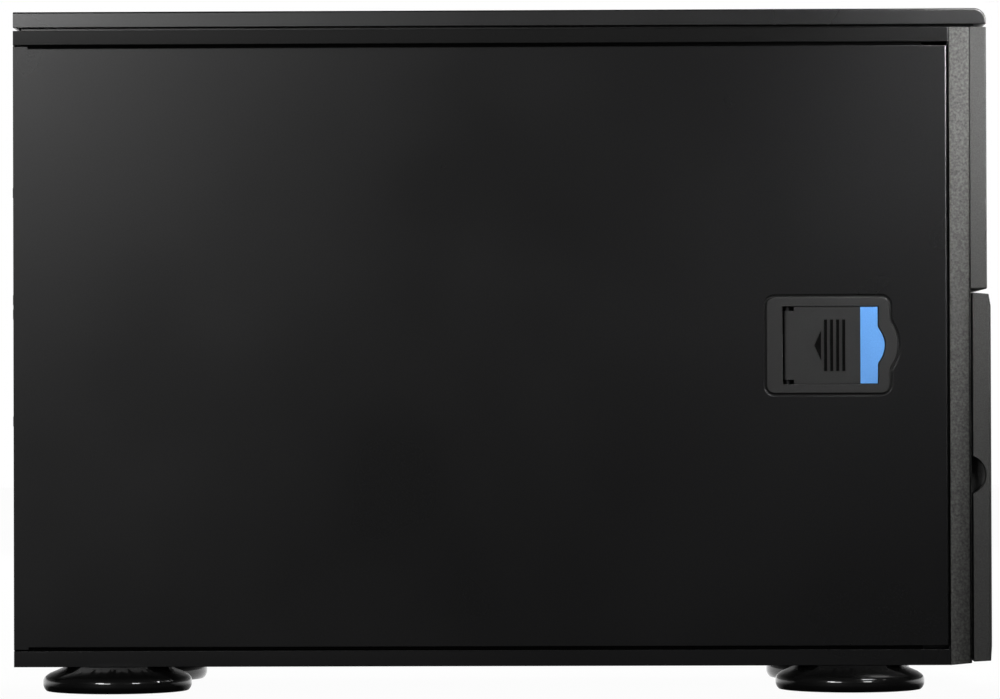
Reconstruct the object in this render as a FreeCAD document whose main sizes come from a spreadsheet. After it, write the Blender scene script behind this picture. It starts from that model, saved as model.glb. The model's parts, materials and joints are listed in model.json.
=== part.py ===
# A tower server on four disc feet: a sheet-metal chassis with a sliding side cover and its latch, a moulded
# bezel with a hinged door, and the drives, fans, board and power supply inside.
# Millimetres. The front faces -Y, the access side is -X, and up is +Z. The origin is on the floor, in the
# middle of the outside box.
import FreeCAD, Part
import math
import os
import Sketcher

doc = FreeCAD.newDocument("tower_server")
sheet = doc.addObject("Spreadsheet::Sheet", "dims")

# Every size that can be set by itself, in millimetres or degrees, and the counts.
DRIVING = {
    # Chassis
    "chassis_width": 178.0,
    "chassis_depth": 620.2,
    "chassis_height": 422.0,
    "sheet": 1.2,
    "bottom_strip": 10.5,
    "top_strip": 9.5,
    "panel_gap": 2.5,
    "ledge_set": 1.6,
    "ledge_height": 13.0,
    "ledge_end": 5.0,
    "slide_clearance": 0.3,
    "part_clearance": 0.25,
    "fit_clearance": 0.05,
    # Feet
    "foot_height": 17.5,
    "foot_radius": 49.5,
    "foot_rim": 6.4,
    "foot_bevel": 2.2,
    "foot_shoulder_radius": 45.0,
    "foot_shoulder_rise": 3.0,
    "foot_top_radius": 33.0,
    "foot_offset": 65.5,
    "foot_from_rear": 66.5,
    "foot_from_front": 65.5,
    "pad_radius": 16.0,
    "pad_height": 1.0,
    # Top cover
    "cover_gap": 2.0,
    "cover_height": 10.5,
    "cover_wall": 2.2,
    "cover_front_round": 8.0,
    "cover_edge_round": 1.4,
    "cover_rim": 2.0,
    "cover_rim_set": 5.0,
    # Bezel
    "bezel_depth": 14.0,
    "bezel_skin": 3.0,
    "bezel_foot_rise": 1.3,
    "panel_front_gap": 1.5,
    "panel_fold": 6.0,
    "panel_tab": 10.0,
    "panel_tab_rise": 1.6,
    "fascia_depth": 10.8,
    "fascia_skin": 3.0,
    "fascia_edge_round": 1.3,
    "fascia_foot_round": 1.2,
    "fascia_rise": 248.5,
    "control_band": 37.0,
    # Front door
    "door_gap": 1.2,
    "door_depth": 12.0,
    "door_bow": 1.1,
    "door_clearance": 2.2,
    "door_skin": 3.0,
    "door_edge_round": 2.5,
    "door_top_fall": 1.0,
    "door_top_ease": 1.5,
    "door_top_ease_height": 8.0,
    "door_foot_rise": 0.6,
    "door_foot_ease": 0.7,
    "door_foot_ease_height": 10.0,
    "door_lip": 4.0,
    "door_band": 27.0,
    "door_rail": 20.0,
    "notch_radius": 12.5,
    "notch_depth": 8.6,
    "notch_width": 15.0,
    "notch_lift": 1.4,
    "pin_radius": 2.0,
    "pin_reach": 9.0,
    "lug_height": 1.9,
    "grille_pitch": 12.0,
    "grille_slot": 7.6,
    "grille_count": 16,
    "grille_thickness": 2.5,
    "grille_mullion": 6.0,
    "lock_radius": 6.0,
    "lock_height": 58.0,
    "lock_cam_reach": 9.0,
    "lock_cam_thickness": 2.0,
    "lock_cam_room": 1.0,
    "lock_from_edge": 13.0,
    "lock_inset": 0.3,
    "key_length": 7.0,
    "key_width": 1.6,
    "key_depth": 4.0,
    # Side-cover latch
    "latch_from_front": 37.8,
    "latch_length": 82.4,
    "latch_height": 64.6,
    "latch_rise": 211.6,
    "latch_round": 6.0,
    "latch_proud": 0.4,
    "latch_gap": 1.0,
    "latch_flange": 4.0,
    "latch_flange_thickness": 1.6,
    "latch_blend": 4.0,
    "hinge_slot_length": 7.5,
    "hinge_slot_height": 2.7,
    "latch_bulge": 5.4,
    "latch_bulge_height": 31.4,
    "latch_bevel": 0.9,
    "window_rear_margin": 11.2,
    "window_length": 63.3,
    "window_height": 51.6,
    "tub_depth": 15.0,
    "tub_wall": 2.4,
    "paddle_inset": 0.6,
    "paddle_nose": 3.3,
    "paddle_thickness": 5.0,
    "latch_pin_radius": 1.5,
    "grip_length": 11.8,
    "grip_bulge": 4.6,
    "grip_bulge_height": 24.0,
    "cam_reach": 17.0,
    "cam_thickness": 4.0,
    "cam_width": 12.0,
    "cam_slot_clearance": 1.6,
    "strike_half_length": 14.0,
    "strike_half_height": 12.0,
    "mark_height": 0.4,
    "mark_rib": 2.0,
    "mark_rib_count": 4,
    "mark_length": 34.0,
    "arrow_length": 4.5,
    "arrow_height": 20.0,
    "strike_overlap": 1.4,
    "cover_travel": 13.0,
    # Fans
    "fan_size": 80.0,
    "fan_depth": 25.4,
    "fan_wall": 1.8,
    "fan_lip": 2.0,
    "fan_corner_bevel": 4.0,
    "fan_hole_margin": 4.25,
    "fan_hub_radius": 18.0,
    "fan_hub_height": 17.0,
    "fan_tip_gap": 0.9,
    "fan_mount_height": 3.5,
    "fan_strut": 4.0,
    "fan_shaft_radius": 1.5,
    "fan_blade_thickness": 1.6,
    "fan_blade_count": 5,
    "fan_blade_pitch": 52.0,
    "fan_blade_chord": 25.0,
    "fan_blade_camber": 2.2,
    "fan_blade_root": 4.0,
    "fan_hub_gap": 0.5,
    "fan_shaft_end": 0.5,
    "rear_fan_count": 2,
    "rear_fan_gap": 1.0,
    "rear_fan_below_supply": 15.3,
    "rear_fan_across": -30.0,
    "guard_reach": 3.5,
    "guard_bar": 1.8,
    "guard_ring_margin": 2.2,
    "guard_ring_count": 2,
    "guard_cap_radius": 12.0,
    "guard_cap_top": 6.0,
    "guard_eye": 6.8,
    "guard_eye_height": 2.6,
    "mid_fan_gap": 4.0,
    "mid_fan_count": 4,
    "mid_fan_foot": 5.3,
    "mid_fan_across": 0.0,
    "board_fan_gap": 14.4,
    "wiring_window_width": 76.4,
    "wiring_window_margin": 10.5,
    # Drives
    "drive_width": 101.6,
    "drive_height": 26.1,
    "drive_length": 147.0,
    "drive_count": 8,
    "tray_pitch": 27.6,
    "tray_rail": 2.2,
    "tray_rail_height": 12.0,
    "tray_face": 12.0,
    "tray_face_height": 25.4,
    "tray_side_gap": 1.6,
    "cage_foot": 5.0,
    "cage_runner": 1.0,
    "cage_runner_width": 2.6,
    "cage_top_gap": 2.0,
    "tray_recess": 1.0,
    "drive_connector_gap": 4.0,
    "backplane_thickness": 2.0,
    "backplane_vent_height": 15.0,
    "backplane_vent_width": 62.0,
    "drive_connector_width": 34.0,
    "drive_connector_height": 5.0,
    "drive_lift": 0.5,
    "drive_lid": 1.5,
    "drive_lid_margin": 4.0,
    "tray_face_lift": 1.1,
    "tray_vent_width": 9.0,
    "tray_vent_height": 14.0,
    "tray_vent_pitch": 16.0,
    "tray_vent_count": 5,
    # Front bays and controls
    "bay_width": 148.4,
    "bay_pitch": 42.4,
    "bay_count": 3,
    "bay_depth": 170.0,
    "bay_foot_margin": 3.6,
    "blank_arm": 22.0,
    "blank_arm_thickness": 2.0,
    "blank_recess": 0.4,
    "blank_groove": 1.0,
    "blank_groove_count": 4,
    "blank_groove_pitch": 8.0,
    "control_board_thickness": 1.6,
    "power_button_radius": 7.0,
    "reset_button_radius": 2.5,
    "button_travel": 1.5,
    "button_flange": 1.6,
    "usb_width": 13.2,
    "usb_height": 5.8,
    "usb_wall": 0.5,
    "usb_tongue": 1.8,
    "usb_back": 2.0,
    "usb_pitch": 21.0,
    "usb_from_left": 39.6,
    "power_from_right": 28.0,
    "reset_from_right": 49.0,
    "button_proud": 0.8,
    "button_plunger_radius": 1.6,
    "switch_size": 6.0,
    "switch_height": 4.0,
    "light_pipe_width": 2.6,
    "light_pipe_height": 5.0,
    "light_pipe_count": 5,
    "light_pipe_pitch": 9.0,
    # Board
    "board_depth": 330.0,
    "board_height": 304.8,
    "board_thickness": 1.6,
    "board_foot": 13.5,
    "board_from_rear": 1.0,
    "standoff_height": 6.5,
    "standoff_radius": 3.0,
    "slot_pitch": 20.32,
    "slot_count": 7,
    "slot_first": 23.0,
    "slot_opening": 12.4,
    "slot_length": 105.0,
    "slot_cover_thickness": 0.9,
    "slot_cover_width": 18.4,
    "io_width": 44.5,
    "io_height": 158.8,
    "io_margin": 2.0,
    "heatsink_side": 84.0,
    "heatsink_height": 62.0,
    "heatsink_base": 6.0,
    "heatsink_fin": 1.3,
    "heatsink_fin_count": 14,
    "memory_pitch": 9.4,
    "memory_count": 6,
    "memory_length": 133.0,
    "memory_height": 30.0,
    "memory_thickness": 3.6,
    "memory_from_front": 20.0,
    "memory_socket_width": 6.5,
    "memory_socket_height": 8.0,
    "memory_socket_end": 4.0,
    "cpu_side": 58.0,
    "cpu_socket_height": 6.0,
    "cpu_from_top": 66.0,
    "cpu_from_front": 70.0,
    "cpu_pitch": 112.0,
    "card_socket_length": 89.0,
    "card_socket_width": 7.5,
    "card_socket_height": 11.0,
    "card_socket_from_rear": 42.0,
    "standoff_margin": 9.0,
    "slot_cover_tab": 11.0,
    "slot_cover_overlap": 4.0,
    "io_shield_thickness": 0.8,
    "io_shield_overlap": 2.0,
    "port_depth": 21.0,
    "port_gap": 5.5,
    "network_port_width": 16.0,
    "network_port_height": 13.6,
    "network_socket_width": 11.8,
    "network_socket_height": 8.4,
    "network_socket_depth": 12.0,
    "usb_stack_width": 14.6,
    "usb_stack_height": 15.6,
    "serial_port_width": 31.0,
    "serial_port_height": 12.0,
    # Power supply
    "psu_width": 150.0,
    "psu_height": 84.0,
    "psu_length": 185.0,
    "psu_skin": 1.0,
    "psu_rim": 4.0,
    "psu_fan_across": -28.0,
    "psu_slot_width": 4.0,
    "psu_slot_pitch": 6.4,
    "psu_slot_count": 11,
    "psu_slot_height": 62.0,
    "inlet_across": 46.0,
    "inlet_wall": 3.0,
    "inlet_pin_length": 11.5,
    "inlet_pin_width": 2.0,
    "inlet_pin_height": 4.0,
    "inlet_pin_step": 7.0,
    "inlet_socket_depth": 17.0,
    "psu_top_gap": 2.0,
    "inlet_width": 30.0,
    "inlet_height": 23.0,
    "inlet_depth": 22.0,
}


class Size:
    """A length worked out from the sheet's cells: an expression for the document, and its number now."""

    def __init__(self, text, number):
        self.text = text
        self.number = number

    def __add__(self, other):
        other = as_size(other)
        return Size("(%s + %s)" % (self.text, other.text), self.number + other.number)

    def __radd__(self, other):
        return as_size(other) + self

    def __sub__(self, other):
        other = as_size(other)
        return Size("(%s - %s)" % (self.text, other.text), self.number - other.number)

    def __rsub__(self, other):
        return as_size(other) - self

    def __mul__(self, other):
        other = as_size(other)
        return Size("(%s * %s)" % (self.text, other.text), self.number * other.number)

    def __rmul__(self, other):
        return as_size(other) * self

    def __truediv__(self, other):
        other = as_size(other)
        return Size("(%s / %s)" % (self.text, other.text), self.number / other.number)

    def __neg__(self):
        return Size("(0 - %s)" % self.text, -self.number)


def square_root(size):
    return Size("sqrt(%s)" % size.text, math.sqrt(size.number))


def sine(degrees):
    return Size("sin(%s)" % degrees.text, math.sin(math.radians(degrees.number)))


def cosine(degrees):
    return Size("cos(%s)" % degrees.text, math.cos(math.radians(degrees.number)))


def arc_radius(half_chord, rise):
    """The radius of an arc from half its chord and its rise."""
    return (half_chord * half_chord + rise * rise) / (2 * rise)


def as_size(value):
    """A plain number as a Size, so that the two mix."""
    if isinstance(value, Size):
        return value
    return Size(repr(float(value)), float(value))


class Cells:
    """The sheet's named cells, each read as a Size."""

    def __getattr__(self, alias):
        return Size("dims." + alias, float(sheet.get(alias)))


for row, (alias, value) in enumerate(DRIVING.items(), start=1):
    sheet.set("A%d" % row, alias.replace("_", " "))
    sheet.set("B%d" % row, str(value))
    sheet.setAlias("B%d" % row, alias)
doc.recompute()
D = Cells()
ZERO = as_size(0)


# Solids from primitives

def named(kind, name):
    """A new object of the document whose label is the name given."""
    thing = doc.addObject(kind, name)
    thing.Label = name
    return thing


def box(name, x, y, z):
    """A block between two ends on each axis."""
    block = named("Part::Box", name)
    for size, place, ends in (("Length", "x", x), ("Width", "y", y), ("Height", "z", z)):
        low, high = as_size(ends[0]), as_size(ends[1])
        block.setExpression(size, (high - low).text)
        block.setExpression("Placement.Base." + place, low.text)
    return block


TURN_FROM_Z = {
    "x": FreeCAD.Rotation(FreeCAD.Vector(0, 1, 0), 90),
    "y": FreeCAD.Rotation(FreeCAD.Vector(1, 0, 0), -90),
    "z": FreeCAD.Rotation(),
}


def put(thing, x, y, z, along="z"):
    """Places a piece: its own origin goes to the point, and its own Z axis turns to the axis named."""
    thing.Placement = FreeCAD.Placement(FreeCAD.Vector(), TURN_FROM_Z[along])
    for place, value in (("x", x), ("y", y), ("z", z)):
        thing.setExpression("Placement.Base." + place, as_size(value).text)
    return thing


def rod(name, radius, length, x, y, z, along="z"):
    """A round bar that starts at the point and runs along the axis named."""
    bar = named("Part::Cylinder", name)
    bar.setExpression("Radius", as_size(radius).text)
    bar.setExpression("Height", as_size(length).text)
    return put(bar, x, y, z, along)


def cut(name, base, tools):
    """A base with every tool taken away."""
    result = named("Part::Cut", name)
    result.Base = base
    result.Tool = tools[0] if len(tools) == 1 else group(name + "_tools", tools)
    result.Refine = True
    return result


def group(name, pieces):
    """Separate solids that share one node."""
    bundle = named("Part::Compound", name)
    bundle.Links = pieces
    return bundle


# Solids from sketches

def new_body(name):
    return named("PartDesign::Body", name)


def origin_of(body, role):
    """One of a body's own origin planes or axes."""
    return next(item for item in body.Origin.OriginFeatures if item.Role == role)


def hold(sketch, geometry, point, u, v):
    """Holds a point of a sketch at its two distances from the sketch's origin."""
    for kind, axis, value in (("DistanceX", -2, as_size(u)), ("DistanceY", -1, as_size(v))):
        if abs(value.number) < 1e-9:
            sketch.addConstraint(Sketcher.Constraint("PointOnObject", geometry, point, axis))
            continue
        index = sketch.addConstraint(Sketcher.Constraint(kind, -1, 1, geometry, point, value.number))
        sketch.setExpression("Constraints[%d]" % index, value.text)


def outline(points, bows=None):
    """Draws a closed outline. An edge listed in bows, by its first corner, is an arc of that radius."""
    bows = bows or {}

    def draw(sketch):
        first = sketch.GeometryCount
        corners = [FreeCAD.Vector(as_size(u).number, as_size(v).number, 0) for u, v in points]
        count = len(corners)
        for at, start in enumerate(corners):
            end = corners[(at + 1) % count]
            if at in bows:
                sketch.addGeometry(Part.Arc(start, bow_middle(start, end, bows[at].number), end), False)
            else:
                sketch.addGeometry(Part.LineSegment(start, end), False)
        for at in range(count):
            arc_turns_back = at in bows and is_reversed(sketch, first + at, corners[at])
            here, there = (2, 1) if arc_turns_back else (1, 2)
            following = (at + 1) % count
            next_back = following in bows and is_reversed(sketch, first + following, corners[following])
            meets = 2 if next_back else 1
            sketch.addConstraint(
                Sketcher.Constraint("Coincident", first + at, there, first + following, meets))
            hold(sketch, first + at, here, *points[at])
        for at, radius in bows.items():
            index = sketch.addConstraint(Sketcher.Constraint("Radius", first + at, abs(radius.number)))
            sketch.setExpression("Constraints[%d]" % index, radius.text)

    return draw


def bow_middle(start, end, radius):
    """The middle of an arc that bulges to the right of its way from start to end."""
    half = (end - start) * 0.5
    rise = radius - math.sqrt(radius ** 2 - half.Length ** 2)
    right = FreeCAD.Vector(half.y, -half.x, 0).normalize()
    return start + half + right * rise


def is_reversed(sketch, geometry, start):
    """Whether an arc's own first point is the outline's second one."""
    return (sketch.getPoint(geometry, 1) - start).Length > 1e-6


def rectangle(u, v):
    """Draws a rectangle between two ends on each of the sketch's axes."""
    return outline([(u[0], v[0]), (u[1], v[0]), (u[1], v[1]), (u[0], v[1])])


def circle(u, v, radius):
    """Draws a circle."""
    radius = as_size(radius)

    def draw(sketch):
        centre = FreeCAD.Vector(as_size(u).number, as_size(v).number, 0)
        at = sketch.addGeometry(Part.Circle(centre, FreeCAD.Vector(0, 0, 1), radius.number), False)
        hold(sketch, at, 3, u, v)
        index = sketch.addConstraint(Sketcher.Constraint("Radius", at, radius.number))
        sketch.setExpression("Constraints[%d]" % index, radius.text)

    return draw


def sketch_on(body, plane, draws, level=ZERO):
    """A sketch on one of the body's own planes, at a level on the axis that the plane doesn't hold."""
    sketch = body.newObject("Sketcher::SketchObject", body.Name + "_outline")
    sketch.AttachmentSupport = (origin_of(body, plane + "_Plane"), "")
    sketch.MapMode = "FlatFace"
    rise = -level if plane == "XZ" else level
    sketch.setExpression("AttachmentOffset.Base.z", rise.text)
    for draw in draws:
        draw(sketch)
    return sketch


def extrude(body, kind, plane, draws, low, high):
    """Adds or cuts a straight prism between two levels. The XZ plane's own normal points to -Y."""
    low, high = as_size(low), as_size(high)
    starts_low = (kind == "Pad") == (plane != "XZ")
    sketch = sketch_on(body, plane, draws, low if starts_low else high)
    feature = body.newObject("PartDesign::" + kind, body.Name + "_" + kind.lower())
    feature.Profile = sketch
    feature.setExpression("Length", (high - low).text)
    return feature


def pad(body, plane, draws, low, high):
    return extrude(body, "Pad", plane, draws, low, high)


def pocket(body, plane, draws, low, high):
    """Cuts a straight prism, and makes sure that it took material away."""
    doc.recompute()
    before = body.Shape.Volume
    feature = extrude(body, "Pocket", plane, draws, low, high)
    doc.recompute()
    if body.Shape.Volume > before - 1e-3:
        raise RuntimeError("a pocket of %s cuts nothing" % body.Label)
    return feature


def revolve(body, draws):
    """Turns a half section, drawn on the XZ plane, about the body's own Z axis."""
    sketch = sketch_on(body, "XZ", draws)
    feature = body.newObject("PartDesign::Revolution", body.Name + "_turned")
    feature.Profile = sketch
    feature.ReferenceAxis = (sketch, ["V_Axis"])
    feature.Angle = 360
    return feature


def repeat(body, feature, axis, count, step):
    """Repeats a feature in a straight row along one of the body's axes."""
    row = body.newObject("PartDesign::LinearPattern", body.Name + "_row")
    row.Originals = [feature]
    row.Direction = (origin_of(body, axis + "_Axis"), [""])
    row.Mode = "Spacing"
    row.setExpression("Offset", as_size(step).text)
    row.setExpression("Occurrences", as_size(count).text)
    body.Tip = row
    return row


def around(body, feature, count):
    """Repeats a feature evenly about the body's Z axis."""
    ring = body.newObject("PartDesign::PolarPattern", body.Name + "_ring")
    ring.Originals = [feature]
    ring.Axis = (origin_of(body, "Z_Axis"), [""])
    ring.Angle = 360
    ring.setExpression("Occurrences", as_size(count).text)
    body.Tip = ring
    return ring


def round_edges(body, radius, chosen, kind="Fillet"):
    """Rounds or bevels the edges that the test picks out of the body as it stands."""
    doc.recompute()
    last = body.Tip
    names = ["Edge%d" % at for at, edge in enumerate(last.Shape.Edges, start=1) if chosen(edge)]
    if not names:
        raise RuntimeError("no edge of %s is chosen" % body.Label)
    feature = body.newObject("PartDesign::" + kind, body.Name + "_" + kind.lower())
    feature.Base = (last, names)
    feature.setExpression("Radius" if kind == "Fillet" else "Size", as_size(radius).text)
    return feature


def runs_along(axis, **places):
    """Picks straight edges along an axis that lie at the places given on the other axes."""
    def chosen(edge):
        span = [edge.BoundBox.XLength, edge.BoundBox.YLength, edge.BoundBox.ZLength]
        along = "xyz".index(axis)
        if span[along] < 0.5 or max(span[:along] + span[along + 1:]) > 1e-4:
            return False
        middle = edge.BoundBox.Center
        return all(
            any(abs(getattr(middle, name) - as_size(value).number) < 1e-3 for value in values)
            for name, values in places.items())

    return chosen


# Planes that the pieces share

TOTAL_DEPTH = D.guard_reach + D.chassis_depth + D.bezel_depth + D.door_gap + D.door_depth + D.door_bow
REAR = TOTAL_DEPTH / 2 - D.guard_reach
FRONT = REAR - D.chassis_depth
LEFT = -D.chassis_width / 2
RIGHT = D.chassis_width / 2
BOTTOM = D.foot_height
TOP = BOTTOM + D.chassis_height
INNER_LEFT = LEFT + D.sheet + D.slide_clearance
INNER_RIGHT = RIGHT - D.sheet
FLOOR = BOTTOM + D.sheet
CEILING = TOP - D.sheet
BACK = REAR - D.sheet
FACE = FRONT + D.sheet
PANEL_LOW = BOTTOM + D.bottom_strip + D.panel_gap
PANEL_HIGH = TOP - D.top_strip - D.panel_gap
BEZEL_FRONT = FRONT - D.bezel_depth
FASCIA_FRONT = BEZEL_FRONT - D.fascia_depth
DOOR_BACK = BEZEL_FRONT - D.door_gap
DOOR_FACE = DOOR_BACK - D.door_depth
DOOR_LOW = BOTTOM + D.door_clearance
FASCIA_FOOT = BOTTOM + D.fascia_rise
DOOR_HIGH = FASCIA_FOOT - D.door_clearance
HINGE_X = RIGHT - D.door_depth / 2
HINGE_Y = DOOR_BACK - D.door_depth / 2
BOARD_BACK = INNER_RIGHT - D.standoff_height
BOARD_FACE = BOARD_BACK - D.board_thickness
BOARD_LOW = BOTTOM + D.board_foot
BOARD_HIGH = BOARD_LOW + D.board_height
BOARD_REAR = BACK - D.board_from_rear
IO_HIGH = BOARD_HIGH - D.io_margin
IO_LOW = IO_HIGH - D.io_height
SLOT_RIGHT = BOARD_FACE - D.io_margin
SLOT_LOWEST = BOTTOM + D.slot_first
PSU_HIGH = CEILING - D.psu_top_gap
PSU_LOW = PSU_HIGH - D.psu_height
PSU_FRONT = BACK - D.psu_length
CAGE_INSIDE = D.drive_width / 2 + D.tray_rail + D.tray_side_gap
CAGE_OUTSIDE = CAGE_INSIDE + D.sheet
TRAY_LOWEST = FLOOR + D.cage_foot
TRAYS_TOP = TRAY_LOWEST + D.drive_count * D.tray_pitch
CAGE_TOP = TRAYS_TOP + D.cage_top_gap + D.sheet
TRAY_FRONT = BEZEL_FRONT + D.tray_recess
DRIVE_FRONT = TRAY_FRONT + D.tray_face
DRIVE_BACK = DRIVE_FRONT + D.drive_length
CAGE_BACK = DRIVE_BACK + D.drive_connector_gap
BAY_LOWEST = FASCIA_FOOT + D.bay_foot_margin
BAYS_TOP = BAY_LOWEST + D.bay_count * D.bay_pitch
BOARD_FRONT = BOARD_REAR - D.board_depth
FAN_WALL = BOARD_FRONT - D.board_fan_gap - D.fan_depth - D.sheet
FAN_BORE = D.fan_size / 2 - D.fan_wall
FAN_HOLE = D.fan_size / 2 - D.fan_hole_margin
MID_FAN_LOWEST = FLOOR + D.mid_fan_foot + D.fan_size / 2
MID_FAN_PITCH = D.fan_size + D.mid_fan_gap
REAR_FAN_PITCH = D.fan_size + D.rear_fan_gap
REAR_FAN_LOWEST = (PSU_LOW - D.rear_fan_below_supply - D.fan_size / 2
                   - (D.rear_fan_count - 1) * REAR_FAN_PITCH)
CONTROL_HEIGHT = TOP - D.control_band / 2
USB_COUNT = 2
CPU_COUNT = 2


# Chassis sheets

def edge_pan(name, outer, toward, strip):
    """The floor or the roof: a sheet whose left edge turns in as a strip, with a ledge behind the cover."""
    body = new_body(name)

    def height(rise):
        return outer + toward * rise

    strip_inside = LEFT + D.sheet
    pad(body, "XZ", [outline([
        (LEFT, height(ZERO)), (INNER_RIGHT, height(ZERO)), (INNER_RIGHT, height(D.sheet)),
        (strip_inside, height(D.sheet)), (strip_inside, height(strip)), (LEFT, height(strip)),
    ])], FRONT, REAR)
    ledge_outside = LEFT + D.ledge_set
    ledge_inside = ledge_outside + D.sheet
    pad(body, "XZ", [outline([
        (strip_inside, height(strip - D.sheet)), (ledge_inside, height(strip - D.sheet)),
        (ledge_inside, height(strip + D.ledge_height)), (ledge_outside, height(strip + D.ledge_height)),
        (ledge_outside, height(strip)), (strip_inside, height(strip)),
    ])], FRONT + D.cover_travel + D.ledge_end, REAR - D.ledge_end)
    return body


def make_right_wall():
    return box("right_wall", (INNER_RIGHT, RIGHT), (FRONT, REAR), (BOTTOM, TOP))


def wall_body(name, low, high, left=INNER_LEFT):
    """A cross wall of sheet that fills the chassis from floor to roof."""
    body = new_body(name)
    pad(body, "XZ", [rectangle((left, INNER_RIGHT), (FLOOR, CEILING))], low, high)
    return body


def make_rear_wall():
    """The rear wall, open for the ports, the cards, the two fans and the power supply."""
    body = wall_body("rear_wall", BACK, REAR)
    pocket(body, "XZ", [rectangle((BOARD_FACE - D.io_width, BOARD_FACE), (IO_LOW, IO_HIGH))], BACK, REAR)
    slot = pocket(body, "XZ", [rectangle(
        (SLOT_RIGHT - D.slot_length, SLOT_RIGHT),
        (SLOT_LOWEST - D.slot_opening / 2, SLOT_LOWEST + D.slot_opening / 2))], BACK, REAR)
    repeat(body, slot, "Z", D.slot_count, D.slot_pitch)
    hole = pocket(body, "XZ", [circle(D.rear_fan_across, REAR_FAN_LOWEST, FAN_BORE)], BACK, REAR)
    repeat(body, hole, "Z", D.rear_fan_count, REAR_FAN_PITCH)
    pocket(body, "XZ", [rectangle(
        (D.psu_rim - D.psu_width / 2, D.psu_width / 2 - D.psu_rim),
        (PSU_LOW + D.psu_rim, PSU_HIGH - D.psu_rim))], BACK, REAR)
    return body


def make_front_wall():
    """The front wall, open for the drive trays, the front bays and the wiring of the controls."""
    body = wall_body("front_wall", FRONT, FACE)
    pocket(body, "XZ", [rectangle((-CAGE_INSIDE, CAGE_INSIDE), (FLOOR + D.sheet, TRAYS_TOP))], FRONT, FACE)
    pocket(body, "XZ", [rectangle((-D.bay_width / 2, D.bay_width / 2), (BAY_LOWEST, BAYS_TOP))], FRONT, FACE)
    return body


def make_fan_wall():
    """The wall across the middle, with a square bay for each fan and a window above them for the wiring."""
    body = wall_body("fan_wall", FAN_WALL, FAN_WALL + D.sheet, LEFT + D.ledge_set + D.sheet)
    half = D.fan_size / 2 - D.fan_lip
    bay = pocket(body, "XZ", [rectangle(
        (D.mid_fan_across - half, D.mid_fan_across + half), (MID_FAN_LOWEST - half, MID_FAN_LOWEST + half))],
        FAN_WALL, FAN_WALL + D.sheet)
    repeat(body, bay, "Z", D.mid_fan_count, MID_FAN_PITCH)
    fans_top = MID_FAN_LOWEST + (D.mid_fan_count - 1) * MID_FAN_PITCH + D.fan_size / 2
    half = D.wiring_window_width / 2
    pocket(body, "XZ", [rectangle(
        (-half, half), (fans_top + D.wiring_window_margin, CEILING - D.wiring_window_margin))],
        FAN_WALL, FAN_WALL + D.sheet)
    return body


# Top cover

def make_top_cover():
    """A moulded slab, hollow below, on a set-in rim that leaves a shadow gap all round above the roof."""
    body = new_body("top_cover")
    low = TOP + D.cover_gap
    high = low + D.cover_height
    pad(body, "XY", [rectangle((LEFT, RIGHT), (FASCIA_FRONT, REAR))], low, high)
    round_edges(body, D.cover_front_round, runs_along("x", y=[FASCIA_FRONT], z=[high]))
    round_edges(body, D.cover_edge_round, runs_along("y", x=[LEFT, RIGHT], z=[high]))
    pocket(body, "XY", [rectangle(
        (LEFT + D.cover_wall, RIGHT - D.cover_wall),
        (FASCIA_FRONT + D.cover_front_round, REAR - D.cover_wall))], low, high - D.cover_wall)
    rim_x = (LEFT + D.cover_rim_set, RIGHT - D.cover_rim_set)
    rim_y = (FASCIA_FRONT + D.cover_front_round, REAR - D.cover_rim_set)
    pad(body, "XY", [
        rectangle(rim_x, rim_y),
        rectangle((rim_x[0] + D.cover_rim, rim_x[1] - D.cover_rim),
                  (rim_y[0] + D.cover_rim, rim_y[1] - D.cover_rim)),
    ], TOP, high - D.cover_wall)
    return body


# Feet

FOOT_PLACES = {
    "front_left": (-D.foot_offset, FRONT + D.foot_from_front),
    "front_right": (D.foot_offset, FRONT + D.foot_from_front),
    "rear_left": (-D.foot_offset, REAR - D.foot_from_rear),
    "rear_right": (D.foot_offset, REAR - D.foot_from_rear),
}


def make_foot(corner):
    """A turned disc: a bevelled lower edge, an upright rim and a shoulder that steepens towards the rim."""
    body = new_body("foot_" + corner)
    rim_low = D.pad_height + D.foot_bevel
    rim_high = rim_low + D.foot_rim
    revolve(body, [outline([
        (ZERO, D.pad_height), (D.foot_radius - D.foot_bevel, D.pad_height), (D.foot_radius, rim_low),
        (D.foot_radius, rim_high), (D.foot_shoulder_radius, rim_high + D.foot_shoulder_rise),
        (D.foot_top_radius, D.foot_height), (ZERO, D.foot_height)])])
    return put(body, *FOOT_PLACES[corner], ZERO)


def make_foot_pads():
    """The rubber discs under the feet that the server stands on."""
    pads = [rod("foot_pad_" + corner, D.pad_radius, D.pad_height, *place, ZERO)
            for corner, place in FOOT_PLACES.items()]
    return group("foot_pads", pads)


# Bezel

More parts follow.
